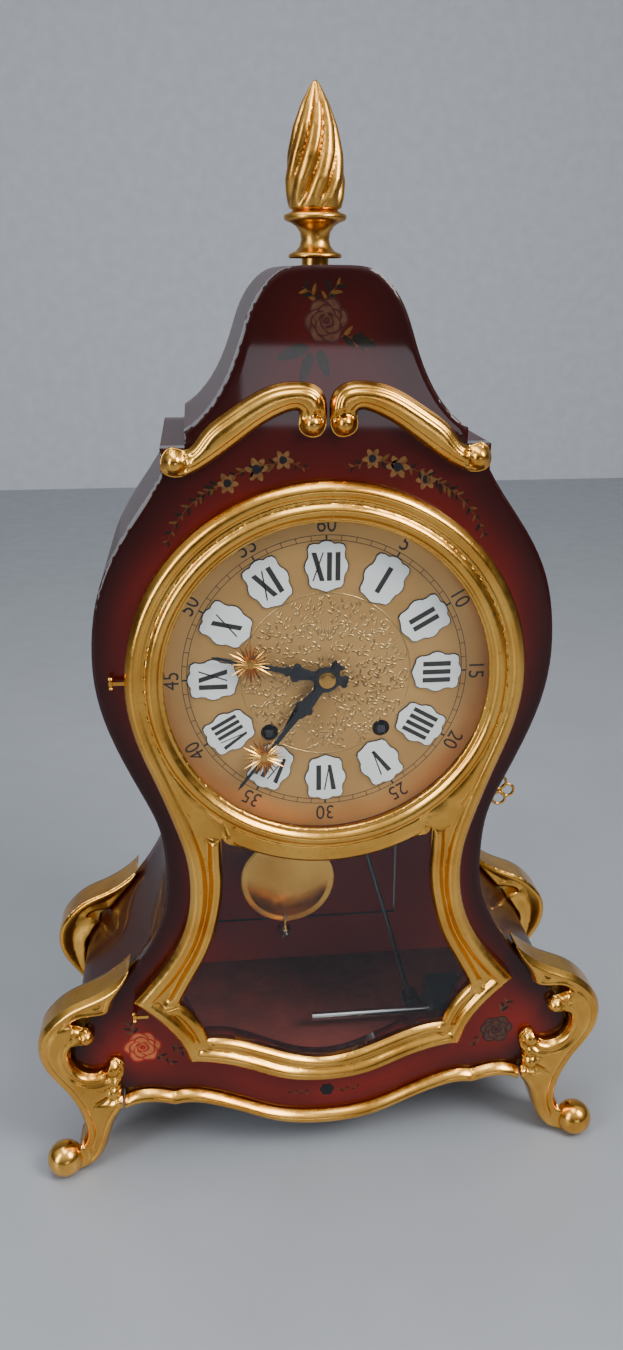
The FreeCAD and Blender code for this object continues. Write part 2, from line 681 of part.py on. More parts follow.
# -------------------------------------------------------------------------------- movement
def toothed(teeth, pitch_radius, y_low, y_high, toward, gap_there):
    """A spur wheel about the Y axis.

    toward is the direction, in degrees from +X towards +Z, of the wheel it meshes with.
    gap_there turns it by half a tooth, so that a gap and not a tooth faces that way.
    """
    module = 2 * pitch_radius / teeth
    pitch = 2 * math.pi / teeth
    tip = pitch_radius + 0.62 * module
    root = pitch_radius - 0.9 * module
    half_tip, half_root = 0.11 * pitch, 0.29 * pitch
    start = math.radians(toward) + (pitch / 2 if gap_there else 0)
    corners = []
    for i in range(teeth):
        middle = start + i * pitch
        for radius, angle in ((root, middle - half_root), (tip, middle - half_tip),
                              (tip, middle + half_tip), (root, middle + half_root)):
            corners.append(Vector(radius * math.cos(angle), y_low, radius * math.sin(angle)))
    face = Part.Face(Part.makePolygon(corners + corners[:1]))
    return face.extrude(Vector(0, y_high - y_low, 0))


def lightened(wheel, pitch_radius, hub, y_low, y_high):
    """Five round windows between hub and rim."""
    middle = (pitch_radius + hub) / 2
    size = (pitch_radius - hub) * 0.3
    holes = []
    for i in range(5):
        angle = 2 * math.pi * i / 5
        at = Vector(middle * math.cos(angle), y_low - 1, middle * math.sin(angle))
        holes.append(Part.makeCylinder(size, y_high - y_low + 2, at, Vector(0, 1, 0)))
    return wheel.cut(holes)


def shaft(radius, y_low, y_high):
    """A round length of arbor."""
    return Part.makeCylinder(radius, y_high - y_low, Vector(0, y_low, 0), Vector(0, 1, 0))


def direction(origin, target):
    """Direction between two axes, in degrees from +X towards +Z."""
    return math.degrees(math.atan2(target[1] - origin[1], target[0] - origin[0]))


def distance(first, second):
    return math.hypot(first[0] - second[0], first[1] - second[1])


CENTRE = (0.0, 0.0)
SECOND = (22.8, 0.0)
PIN_WHEEL = (-22.8, 0.0)
THIRD = (-7.53, 20.67)
ESCAPE = (0.0, 39.2)
FLY = (-34.2, 17.0)
MINUTE_WHEEL = (0.0, -12.0)
BARREL = (dim("arbor_x"), -dim("arbor_drop"))
STRIKE_BARREL = (-dim("arbor_x"), -dim("arbor_drop"))
SWING = (0.0, dim("swing_height"))
PLATE_INNER = dim("front_plate_y") + dim("plate_thick")


def meshed(first, second, teeth_first, teeth_second):
    """Pitch radii of two wheels on given axes."""
    gap = distance(first, second)
    radius = gap * teeth_first / (teeth_first + teeth_second)
    return radius, gap - radius


def wheel_piece(label, place, solids):
    """One arbor with its wheels as a single piece, set on its axis."""
    piece = doc.addObject("Part::Feature", label)
    piece.Shape = solids[0].fuse(solids[1:]).removeSplitter()
    piece.Placement = Placement(Vector(place[0], FRONT, place[1] + DIAL_Z), Rotation())
    return node(piece, label)


def make_trains():
    """Going train, strike train and motion work."""
    pivot = dim("pivot_radius")
    front, back = dim("front_plate_y"), dim("back_plate_y") + dim("plate_thick")
    great, leaf = meshed(BARREL, SECOND, 68, 12)
    second_wheel, centre_leaf = meshed(SECOND, CENTRE, 64, 12)
    centre_wheel, third_leaf = meshed(CENTRE, THIRD, 80, 8)
    third_wheel, escape_leaf = meshed(THIRD, ESCAPE, 92, 8)
    pin_wheel, fly_leaf = meshed(PIN_WHEEL, FLY, 60, 8)
    minute_large, cannon = meshed(MINUTE_WHEEL, CENTRE, 36, 12)
    minute_small, hour_large = meshed(MINUTE_WHEEL, CENTRE, 10, 40)

    to_barrel = direction(SECOND, BARREL)
    wheel_piece("centre_wheel", CENTRE, [
        lightened(toothed(80, centre_wheel, 50, 51.5, direction(CENTRE, THIRD), False),
                  centre_wheel, 4, 50, 51.5),
        toothed(12, centre_leaf, 17.3, 20.3, direction(CENTRE, SECOND), True),
        shaft(1.3, dim("minute_front") + 1.0, back + 0.5)])
    wheel_piece("second_wheel", SECOND, [
        lightened(toothed(64, second_wheel, 18, 19.5, direction(SECOND, CENTRE), False),
                  second_wheel, 4, 18, 19.5),
        toothed(12, leaf, 45, 49, to_barrel, True), shaft(pivot, front, back)])
    wheel_piece("third_wheel", THIRD, [
        lightened(toothed(92, third_wheel, 30, 31.2, direction(THIRD, ESCAPE), False),
                  third_wheel, 4, 30, 31.2),
        toothed(8, third_leaf, 49.3, 52.2, direction(THIRD, CENTRE), True),
        shaft(pivot, front, back)])
    escape = prism([(r * math.sin(a), r * math.cos(a)) for i in range(34) for r, a in
                    ((8.6, 2 * math.pi * i / 34), (10.4, 2 * math.pi * (i + 0.12) / 34),
                     (10.4, 2 * math.pi * (i + 0.22) / 34), (8.6, 2 * math.pi * (i + 0.5) / 34))],
                   1.2)
    escape.Placement = Placement(Vector(0, 37.2, 0), Rotation())
    wheel_piece("escape_wheel", ESCAPE, [
        lightened(escape, 8.6, 2.5, 35, 38.5),
        toothed(8, escape_leaf, 29.3, 31.9, direction(ESCAPE, THIRD), True),
        shaft(pivot, front, back)])

    for label, place, mate in (("going_barrel", BARREL, SECOND),
                               ("strike_barrel", STRIKE_BARREL, PIN_WHEEL)):
        bore = shaft(dim("winding_radius") + GAP, 20, 52)
        drum = Part.makeCylinder(23.5, 19, Vector(0, 26, 0), Vector(0, 1, 0))
        rim = toothed(68, great, 45, 48, direction(place, mate), False)
        solid = drum.fuse(rim).cut(bore)
        piece = doc.addObject("Part::Feature", label)
        piece.Shape = solid
        piece.Placement = Placement(Vector(place[0], FRONT, place[1] + DIAL_Z), Rotation())
        node(piece, label)
    for label, place in (("winding_arbor_right", BARREL), ("winding_arbor_left", STRIKE_BARREL)):
        square = Part.makeBox(3.8, 9.5, 3.8, Vector(-1.9, 3.0, -1.9))
        wheel_piece(label, place, [square, shaft(dim("winding_radius"), 12, back + 1)])

    wheel_piece("pin_wheel", PIN_WHEEL, [
        lightened(toothed(60, pin_wheel, 22, 23.5, direction(PIN_WHEEL, FLY), False),
                  pin_wheel, 4, 22, 23.5),
        toothed(12, leaf, 45, 49, direction(PIN_WHEEL, STRIKE_BARREL), True),
        shaft(pivot, front, back)]
        + [Part.makeCylinder(0.7, 3, Vector(14.6 * math.cos(math.radians(45 * i + 20)), 22.5,
                                            14.6 * math.sin(math.radians(45 * i + 20))),
                             Vector(0, 1, 0)) for i in range(8)])
    vane = Part.makeBox(17, 12, 0.6, Vector(-8.5, 32, -0.3))
    wheel_piece("strike_fly", FLY, [
        toothed(8, fly_leaf, 21.5, 24, direction(FLY, PIN_WHEEL), True), shaft(pivot, front, back),
        vane])

    tube_gap = shaft(1.3 + GAP, -10, 20)
    cannon_solid = toothed(12, cannon, 10.3, 12.4, direction(CENTRE, MINUTE_WHEEL), True)
    cannon_solid = cannon_solid.fuse(shaft(2.2, dim("minute_front") + 0.0, 12.4)).cut(tube_gap)
    piece = doc.addObject("Part::Feature", "cannon_pinion")
    piece.Shape = cannon_solid
    piece.Placement = Placement(Vector(0, FRONT, DIAL_Z), Rotation())
    node(piece, "cannon_pinion")
    hour = toothed(40, hour_large, 8.0, 9.4, direction(CENTRE, MINUTE_WHEEL), False)
    hour = hour.fuse(shaft(3.0, dim("hour_front"), 9.4)).cut(shaft(2.2 + GAP, -10, 20))
    piece = doc.addObject("Part::Feature", "hour_wheel")
    piece.Shape = hour
    piece.Placement = Placement(Vector(0, FRONT, DIAL_Z), Rotation())
    node(piece, "hour_wheel")
    wheel_piece("minute_wheel", MINUTE_WHEEL, [
        toothed(36, minute_large, 10.5, 12.0, direction(MINUTE_WHEEL, CENTRE), False),
        toothed(10, minute_small, 7.8, 10.5, direction(MINUTE_WHEEL, CENTRE), True),
        shaft(pivot, 7.8, front + 1.5)])


def make_movement_frame():
    """Two brass plates, four pillars and the straps that hold them in the case."""
    thick = dim("plate_thick")
    pivots = [(SECOND, "pivot_radius"), (PIN_WHEEL, "pivot_radius"), (THIRD, "pivot_radius"),
              (ESCAPE, "pivot_radius"), (FLY, "pivot_radius"), (BARREL, "winding_radius"),
              (STRIKE_BARREL, "winding_radius"), (SWING, "pivot_radius")]
    for label, at in (("front_plate", "front_plate_y"), ("back_plate", "back_plate_y")):
        y = dim(at)
        plate = Part.makeBox(96, thick, 134, Vector(-48, y, -70))
        holes = [shaft(1.3 + GAP, y - 1, y + thick + 1)]
        for place, radius in pivots:
            hole = shaft(dim(radius) + GAP, y - 1, y + thick + 1)
            hole.translate(Vector(place[0], 0, place[1]))
            holes.append(hole)
        if label == "front_plate":
            hole = shaft(dim("pivot_radius") + GAP, y - 1, y + thick + 1)
            hole.translate(Vector(MINUTE_WHEEL[0], 0, MINUTE_WHEEL[1]))
            holes.append(hole)
        else:
            for x in HAMMER_LUGS:
                lug = Part.makeBox(2, dim("back_plate_y") - 36, 10,
                                   Vector(x, 36, -dim("hammer_drop") - 5))
                plate = plate.fuse(lug)
            arbor = Part.makeCylinder(1.5 + GAP, 60, Vector(-10, dim("hammer_y"),
                                                            -dim("hammer_drop")), Vector(1, 0, 0))
            holes.append(arbor)
        piece = doc.addObject("Part::Feature", label)
        piece.Shape = plate.cut(holes)
        piece.Placement = Placement(Vector(0, FRONT, DIAL_Z), Rotation())
        node(piece, label)
    pillars = []
    for x, z in PILLARS:
        pillar = Part.makeCylinder(3, dim("back_plate_y") - PLATE_INNER,
                                   Vector(x, PLATE_INNER + FRONT, z + DIAL_Z), Vector(0, 1, 0))
        pillars.append(pillar)
    node(group("plate_pillars", pillars))
    straps = []
    for z in STRAP_HEIGHTS:
        strap = Part.makeBox(164, 2, 10, Vector(-82, dim("panel_thick") + FRONT, z - 5 + DIAL_Z))
        for x in (-44, 44):
            spacer = Part.makeCylinder(3, 2, Vector(x, dim("panel_thick") + 2 + FRONT, z + DIAL_Z),
                                       Vector(0, 1, 0))
            strap = strap.fuse(spacer)
        straps.append(strap)
    node(group("movement_straps", straps))


PILLARS = ((-43, -62), (43, -62), (-43, 57), (43, 57))
STRAP_HEIGHTS = (53.0, -60.0)
HAMMER_LUGS = (14.0, 36.0)


# ---------------------------------------------------------------- escapement and pendulum
def make_anchor():
    """Anchor, its arbor and the crutch that drives the pendulum, leaning with it."""
    arbor = shaft(dim("pivot_radius"), 14, 60)
    bridge = Part.makeBox(21, 1.4, 3.2, Vector(-10.5, 36, -3))
    left = Part.makeBox(1.6, 1.4, 11, Vector(-12.8, 36, -11.5))
    right = Part.makeBox(1.6, 1.4, 11, Vector(11.2, 36, -11.5))
    arms = [Part.makeBox(3, 1.4, 3.2, Vector(x, 36, -3)) for x in (-12.8, 9.8)]
    crutch = Part.makeBox(2, 1.4, 46, Vector(-1, 58, -44))
    fork = [Part.makeBox(1.2, 9, 2, Vector(x, 58, -44)) for x in (-3.0, 1.8)]
    bar = Part.makeBox(6, 1.4, 2, Vector(-3, 58, -44))
    shape = arbor.fuse([bridge, left, right, crutch, bar] + arms + fork)
    anchor = doc.addObject("Part::Feature", "anchor")
    anchor.Shape = shape.removeSplitter()
    anchor.Placement = swing_place()
    node(anchor, "anchor")


def swing_place():
    """Placement on the pendulum axis, leaning by the rest tilt."""
    return Placement(Vector(0, FRONT, SWING[1] + DIAL_Z),
                     Rotation(Vector(0, 1, 0), dim("rest_tilt")))


def make_pendulum():
    """Suspension, rod, lens-shaped bob and rating nut, all leaning with the swing."""
    y = dim("pendulum_y")
    back = dim("back_plate_y") + dim("plate_thick")
    foot = Part.makeBox(24, 1.5, 8, Vector(-12, back, -4 + 6))
    front_ear = Part.makeBox(8, 1.6, 10, Vector(-4, y - 3.8, -4))
    back_ear = Part.makeBox(8, 1.6, 10, Vector(-4, y + 2.2, -4))
    bridge = Part.makeBox(8, y + 3.8 - back, 2, Vector(-4, back, 4))
    cock = foot.fuse([front_ear, back_ear, bridge])
    cock = cock.cut([Part.makeCylinder(1.05, 20, Vector(0, y - 10, 0), Vector(0, 1, 0)),
                     Part.makeCylinder(3, 7, Vector(0, back - 1, 0), Vector(0, 1, 0))])
    piece = doc.addObject("Part::Feature", "pendulum_cock")
    piece.Shape = cock
    piece.Placement = Placement(Vector(0, FRONT, SWING[1] + DIAL_Z), Rotation())
    node(piece, "pendulum_cock")

    pin = Part.makeCylinder(1.0, 8.4, Vector(0, y - 4.2, 0), Vector(0, 1, 0))
    top = Part.makeBox(5, 3, 5, Vector(-2.5, y - 1.5, -3))
    strip = Part.makeBox(0.4, 2.4, 14, Vector(-0.2, y - 1.2, -16))
    low = Part.makeBox(5, 3, 5, Vector(-2.5, y - 1.5, -20))
    length = dim("pendulum_length")
    spring = doc.addObject("Part::Feature", "suspension_spring")
    spring.Shape = pin.fuse([top, strip, low])
    rod_end = length + dim("bob_radius") + 12
    rod_solid = Part.makeCylinder(dim("rod_radius"), rod_end - 20, Vector(0, y, -rod_end),
                                  Vector(0, 0, 1))
    pendulum_rod = doc.addObject("Part::Feature", "pendulum_rod")
    pendulum_rod.Shape = rod_solid
    radius = dim("bob_radius")
    half = 3.0
    sagitta_radius = (radius ** 2 + half ** 2) / (2 * half)
    lens = Part.makeSphere(sagitta_radius, Vector(0, y - half + sagitta_radius, -length)).common(
        Part.makeSphere(sagitta_radius, Vector(0, y + half - sagitta_radius, -length)))
    hole = Part.makeCylinder(dim("rod_radius") + GAP, 80, Vector(0, y, -length - 40),
                             Vector(0, 0, 1))
    bob = doc.addObject("Part::Feature", "pendulum_bob")
    rim = Part.makeCylinder(radius - 0.8, 1.6, Vector(0, y - 0.8, -length), Vector(0, 1, 0))
    sleeve = Part.makeCylinder(2.3, 5, Vector(0, y, -length - radius - 4), Vector(0, 0, 1))
    bob.Shape = lens.fuse([rim, sleeve]).cut(hole)
    nut = doc.addObject("Part::Feature", "rating_nut")
    nut_low = -length - radius - 4.3 - 3.6
    nut_solid = Part.makeCylinder(4.2, 3.6, Vector(0, y, nut_low), Vector(0, 0, 1))
    nut.Shape = nut_solid.cut(hole_along(y, nut_low))
    for piece in (spring, pendulum_rod, bob, nut):
        piece.Placement = swing_place()
        node(piece)


def hole_along(y, low):
    """Clearance for the pendulum rod."""
    return Part.makeCylinder(dim("rod_radius") + GAP, 10, Vector(0, y, low - 2), Vector(0, 0, 1))


# ------------------------------------------------------------------- strike hammer and gong
def make_gong():
    """Iron block, the brass rod it holds and the hammer that strikes it."""
    y = dim("gong_y")
    low = BODY_HALF[-1][1] + dim("floor_thick")
    block = box("gong_block_blank", (66, 18, low), (86, 46, low + 22))
    bore = rod("gong_bore", "dims.gong_radius", 12, (65, y, -dim("gong_drop")), "x")
    node(cut("gong_block", block, bore))
    gong = rod("gong_rod", "dims.gong_radius", 81, (-4, y, -dim("gong_drop")), "x")
    node(gong)
    arbor_y = dim("hammer_y")
    drop = dim("hammer_drop")
    arbor = rod("hammer_arbor", 1.5, 26.5, (12, arbor_y, -drop), "x")
    collar = rod("hammer_collar", 3.5, 6, (24, arbor_y, -drop), "x")
    upright = rod("hammer_wire", 1.2, 54, (27, arbor_y, -drop - 54), "z")
    bend = (27, arbor_y, -drop - 54)
    head_at = (57, arbor_y, -dim("gong_drop"))
    slope = Vector(head_at[0] - bend[0], 0, head_at[2] - bend[2])
    length = slope.Length
    slanted = rod("hammer_stalk", 1.2, length, bend, slope)
    knee = ball("hammer_knee", 1.2, bend)
    head = rod("hammer_head", 5, 12, (57, y + dim("gong_radius") + 0.5, -dim("gong_drop")), "y")
    node(joined("strike_hammer", [arbor, collar, upright, knee, slanted, head]))


# --------------------------------------------------------------------------- lock and key
def make_lock():
    """Lock case behind the panel, sliding bolt, and the key with its pierced bow."""
    y, z = dim("key_y"), -dim("key_drop")
    body = box("lock_body", (62.5, dim("panel_thick"), z - 8), (78, 25, z + 8))
    channel = box("lock_channel", (60, y - 2.8, z - 2.8), (73, y + 2.8, z + 2.8))
    keyway = rod("lock_keyway", 1.6 + GAP, 12, (72, y, z), "x")
    node(cut("lock_case", body, joined("lock_hollow", [channel, keyway])))
    bolt = box("lock_bolt", (59.5, y - 2.5, z - 2.5), (71.5, y + 2.5, z + 2.5))
    node(bolt)
    base = Vector(0, y + FRONT, z + DIAL_Z)
    stem = Part.makeCylinder(1.6, 20, base + Vector(73, 0, 0), Vector(1, 0, 0))
    collar = Part.makeCylinder(2.4, 1.6, base + Vector(88.8, 0, 0), Vector(1, 0, 0))
    lobes = []
    eyes = []
    for along, up in ((95.2, 4.2), (95.2, -4.2), (99.0, 0)):
        centre = base + Vector(along, -0.9, up)
        lobes.append(Part.makeCylinder(3.7, 1.8, centre, Vector(0, 1, 0)))
        eyes.append(Part.makeCylinder(2.2, 4, centre - Vector(0, 1, 0), Vector(0, 1, 0)))
    web = Part.makeBox(4.5, 1.8, 4.0, base + Vector(89.5, -0.9, -2.0))
    key = doc.addObject("Part::Feature", "door_key")
    key.Shape = stem.fuse([collar, web] + lobes).cut(eyes).removeSplitter()
    node(key)
    hole = rod("wall_keyhole", 1.6 + GAP, 30, (75, y, z), "x")
    wall = [item for item in NODES if item.Label == "side_wall_right"][0]
    NODES.remove(wall)
    wall.Label = "side_wall_right_blank"
    node(cut("side_wall_right", wall, hole))
    NODES[-1].Label = "side_wall_right"


make_case()
make_back()
make_back_catch()
make_door()
make_front_hinges()
make_back_knuckles()
make_mounts()
make_finial()
make_dial()
make_hands()
make_trains()
make_movement_frame()
make_anchor()
make_pendulum()
make_gong()
make_lock()
doc.recompute()

# --------------------------------------------------------------------- checks and export
for item in doc.Objects:
    if "Invalid" in item.State or "Error" in item.State:
        raise RuntimeError("%s failed: %s" % (item.Label, item.State))
labels = [item.Label for item in NODES]
if len(labels) != len(set(labels)) or len(labels) > 60:
    raise RuntimeError("node names must be unique and at most 60: %d" % len(labels))
for item in NODES:
    if item.Shape.isNull() or not item.Shape.isValid():
        raise RuntimeError("%s has no valid shape" % item.Label)

os.makedirs("parts", exist_ok=True)
for item in NODES:
    item.Shape.exportStep("parts/%s.step" % item.Label)
    box_of = item.Shape.BoundBox
    print("%-22s solids %2d  x %.1f..%.1f  y %.1f..%.1f  z %.1f..%.1f  volume %.0f" % (
        item.Label, len(item.Shape.Solids), box_of.XMin, box_of.XMax, box_of.YMin, box_of.YMax,
        box_of.ZMin, box_of.ZMax, item.Shape.Volume))
print(len(NODES), "nodes")
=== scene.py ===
"""Looks of the waisted mantel clock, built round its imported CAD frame.  Metres, +Y to the back."""
import json
import random
from math import atan2, cos, degrees, hypot, pi, radians, sin, sqrt

import bmesh
import bpy
import numpy as np
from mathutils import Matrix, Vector
from mathutils.geometry import delaunay_2d_cdt


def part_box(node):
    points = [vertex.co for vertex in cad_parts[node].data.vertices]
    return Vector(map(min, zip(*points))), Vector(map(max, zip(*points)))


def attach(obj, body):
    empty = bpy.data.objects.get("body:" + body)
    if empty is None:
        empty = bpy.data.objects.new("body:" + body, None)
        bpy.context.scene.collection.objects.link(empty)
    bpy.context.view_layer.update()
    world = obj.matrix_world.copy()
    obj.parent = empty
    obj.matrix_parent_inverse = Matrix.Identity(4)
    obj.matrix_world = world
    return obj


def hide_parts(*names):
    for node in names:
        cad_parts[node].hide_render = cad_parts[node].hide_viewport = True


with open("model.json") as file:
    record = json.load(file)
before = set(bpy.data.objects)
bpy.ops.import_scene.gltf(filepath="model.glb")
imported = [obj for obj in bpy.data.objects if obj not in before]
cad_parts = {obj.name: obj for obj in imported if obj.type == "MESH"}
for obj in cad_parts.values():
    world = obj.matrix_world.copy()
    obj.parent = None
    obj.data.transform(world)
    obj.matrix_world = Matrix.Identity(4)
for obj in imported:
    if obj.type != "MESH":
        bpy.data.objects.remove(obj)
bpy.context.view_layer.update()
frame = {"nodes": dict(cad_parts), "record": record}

MM = 0.001
NODES = frame["nodes"]
BODY_OF = {n: b for b, ns in frame["record"]["behaviour"]["bodies"].items() for n in ns}
SLOT_OF = {s["node"]: s["material_slot"] for s in frame["record"]["subparts"]}


def middle(node):
    """Centre of a node's box."""
    low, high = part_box(node)
    return (low + high) / 2


DIAL = middle("dial_plate")                     # dial centre, for x and z
PANEL_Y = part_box("front_panel")[0].y            # lacquered face
DIAL_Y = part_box("dial_plate")[0].y              # dial face
MERGE_CELL = 0.09                               # mesh points closer than this become one, mm
BLOCK = 1500                                    # points worked on at a time
CREASE, SOFT_CREASE = 32, 60                    # degrees from which an edge shows as sharp


# ---- materials
class Nodes:
    """A short way to write node trees."""

    def __init__(self, name):
        self.material = bpy.data.materials.new(name)
        self.material.use_nodes = True
        self.tree = self.material.node_tree
        self.tree.nodes.clear()
        self.output = self.add("ShaderNodeOutputMaterial")

    def add(self, kind, **values):
        """A node with its properties (lower case) and inputs (by socket name) set."""
        item = self.tree.nodes.new(kind)
        for key, value in values.items():
            if key[0].isupper():
                item.inputs[key].default_value = value
            else:
                setattr(item, key, value)
        return item

    def link(self, source, target):
        self.tree.links.new(source, target)

    def feed(self, socket, value):
        """Gives an input a number, a colour or another node's output."""
        if isinstance(value, (float, int)):
            socket.default_value = value
        elif isinstance(value, tuple):
            socket.default_value = (*value, 1)
        else:
            self.link(value, socket)

    def position(self, scale=(1, 1, 1), shift=(0, 0, 0)):
        """Object coordinates, stretched and shifted."""
        coords = self.add("ShaderNodeTexCoord")
        mapping = self.add("ShaderNodeMapping", Scale=scale, Location=shift)
        self.link(coords.outputs["Object"], mapping.inputs["Vector"])
        return mapping.outputs["Vector"]

    def noise(self, scale, detail, stretch=(1, 1, 1)):
        """Noise, 0 to 1; scale in cells per metre."""
        item = self.add("ShaderNodeTexNoise", Scale=scale, Detail=detail)
        self.link(self.position(stretch), item.inputs["Vector"])
        return item.outputs["Fac"]

    def ramp(self, source, low, high):
        """Grey ramp between two stops, each (place, grey)."""
        item = self.add("ShaderNodeValToRGB")
        for point, (place, grey) in zip(item.color_ramp.elements, (low, high)):
            point.position = place
            point.color = (grey, grey, grey, 1)
        self.link(source, item.inputs["Fac"])
        return item.outputs["Color"]

    def mix(self, factor, first, second, blend="MIX"):
        """Mix of two colours; each a socket or an rgb tuple."""
        item = self.add("ShaderNodeMix", data_type="RGBA", blend_type=blend)
        for index, value in ((0, factor), (6, first), (7, second)):
            self.feed(item.inputs[index], value)
        return item.outputs[2]

    def bump(self, source, height, distance):
        """Bump from a grey source."""
        item = self.add("ShaderNodeBump", Strength=height, Distance=distance)
        self.link(source, item.inputs["Height"])
        return item.outputs["Normal"]

    def surface(self, colour, roughness, metallic, normal, **inputs):
        """The main shader, joined to the output."""
        shader = self.add("ShaderNodeBsdfPrincipled")
        inputs.update(Base_Color=colour, Roughness=roughness, Metallic=metallic, Normal=normal)
        for name, value in inputs.items():
            self.feed(shader.inputs[name.replace("_", " ")], value)
        self.link(shader.outputs["BSDF"], self.output.inputs["Surface"])
        return self.material


def gilt(name, bright, deep, rough=(0.17, 0.28), relief=0.05):
    """Burnished gilding, clouded with a browner tone and worn in specks."""
    n = Nodes(name)
    cloud = n.ramp(n.noise(34, 4), (0.36, 0.0), (0.70, 1.0))
    specks = n.ramp(n.noise(420, 5), (0.60, 0.0), (0.72, 1.0))
    colour = n.mix(n.mix(0.55, specks, (0.0, 0.0, 0.0)), n.mix(cloud, bright, deep),
                   tuple(c * 0.6 for c in deep))
    roughness = n.ramp(n.noise(240, 4), (0.3, rough[0]), (0.75, rough[1]))
    return n.surface(colour, roughness, 1.0, n.bump(n.noise(700, 3), relief, 0.0002))


CLEAR_COAT = {"Coat_Roughness": 0.04, "Coat_IOR": 1.38, "Specular_IOR_Level": 0.12}


def lacquer(name, red, dark, border_and_painted_light=None, coat=0.75):
    """Clear lacquer over a clouded ground, mixed from dark to red by a per-vertex share from the
    mesh or a fixed one; the share holds the lacquer's own dark border together with painted light
    and shade.
    """
    n = Nodes(name)
    # per-vertex share from the mesh: the lacquer's own dark border plus painted light and shade
    if border_and_painted_light is None:
        border_and_painted_light = n.add("ShaderNodeAttribute", attribute_name="border_and_painted_light").outputs["Fac"]
    cloud = n.ramp(n.noise(14, 3), (0.30, 0.70), (0.72, 1.0))
    streak = n.ramp(n.noise(60, 5, (1, 1, 0.2)), (0.35, 0.82), (0.8, 1.0))
    colour = n.mix(1.0, n.mix(1.0, n.mix(border_and_painted_light, dark, red), cloud, "MULTIPLY"), streak, "MULTIPLY")
    return n.surface(colour, 0.38, 0.0, n.bump(n.noise(22, 2), 0.02, 0.001), Coat_Weight=coat,
                     **CLEAR_COAT)


def lined_lacquer(name, edge_y):
    """Dark lacquer with a warm red lining on its inner side, in front of edge_y."""
    n = Nodes(name)
    coords = n.add("ShaderNodeTexCoord")
    split = n.add("ShaderNodeSeparateXYZ")
    n.link(coords.outputs["Object"], split.inputs[0])
    within = n.add("ShaderNodeMath", operation="LESS_THAN")
    n.link(split.outputs["Y"], within.inputs[0])
    within.inputs[1].default_value = edge_y
    cloud = n.ramp(n.noise(20, 4), (0.3, 0.7), (0.75, 1.0))
    sides = n.mix(within.outputs[0], (0.045, 0.005, 0.004), (0.50, 0.03, 0.016))
    colour = n.mix(1.0, sides, cloud, "MULTIPLY")
    return n.surface(colour, 0.4, 0.0, n.bump(n.noise(60, 3), 0.05, 0.001), Coat_Weight=0.4,
                     Specular_IOR_Level=0.2)


def brushed(name, colour, rough, stretch):
    """Metal with fine lines drawn along one direction."""
    n = Nodes(name)
    lines = n.noise(500, 5, stretch)
    tone = n.mix(n.ramp(lines, (0.3, 0.0), (0.7, 1.0)), tuple(c * 0.82 for c in colour), colour)
    roughness = n.ramp(lines, (0.3, rough), (0.8, min(rough + 0.16, 1.0)))
    return n.surface(tone, roughness, 1.0, n.bump(lines, 0.12, 0.0002))


def plain(name, colour, rough, metallic=0.0, spread=0.85, scale=120, relief=0.05, **inputs):
    """Paint, enamel or cast metal with slight clouding and a fine surface."""
    n = Nodes(name)
    tone = n.mix(n.ramp(n.noise(scale, 4), (0.35, 0.0), (0.7, 1.0)),
                 tuple(c * spread for c in colour), colour)
    roughness = n.ramp(n.noise(scale * 3, 3), (0.3, rough), (0.8, min(rough * 1.4 + 0.02, 1)))
    return n.surface(tone, roughness, metallic, n.bump(n.noise(scale * 8, 3), relief, 0.0002),
                     **inputs)


def flower_paint(name, colour, spread=0.6, scale=400, rough=0.35, metal=0.0, relief=0.2):
    """Flower paint under the clear lacquer."""
    return plain(name, colour, rough, metal, spread, scale, relief, Coat_Weight=0.75,
                 **CLEAR_COAT)


def clear_glass(name):
    """Thin pane: almost all light passes, a little is mirrored."""
    n = Nodes(name)
    through = n.add("ShaderNodeBsdfTransparent", Color=(0.97, 0.98, 0.98, 1))
    mirror = n.add("ShaderNodeBsdfGlossy", Color=(0.9, 0.95, 1.0, 1))
    n.link(n.ramp(n.noise(30, 3), (0.4, 0.012), (0.8, 0.035)), mirror.inputs["Roughness"])
    both = n.add("ShaderNodeMixShader", Fac=0.022)
    n.link(through.outputs[0], both.inputs[1])
    n.link(mirror.outputs[0], both.inputs[2])
    n.link(both.outputs[0], n.output.inputs["Surface"])
    return n.material


def dial_gold():
    """Satin gilt dial with a fine circular grain."""
    n = Nodes("dial_gold")
    rings = n.add("ShaderNodeTexWave", wave_type="RINGS", rings_direction="Y", Scale=420,
                  Distortion=1.5)
    n.link(n.position(shift=(-DIAL.x, 0, -DIAL.z)), rings.inputs["Vector"])
    cloud = n.ramp(n.noise(25, 3), (0.3, 0.0), (0.75, 1.0))
    colour = n.mix(cloud, (0.52, 0.27, 0.075), (0.68, 0.385, 0.125))
    return n.surface(colour, 0.40, 0.60, n.bump(rings.outputs["Fac"], 0.05, 0.0002))


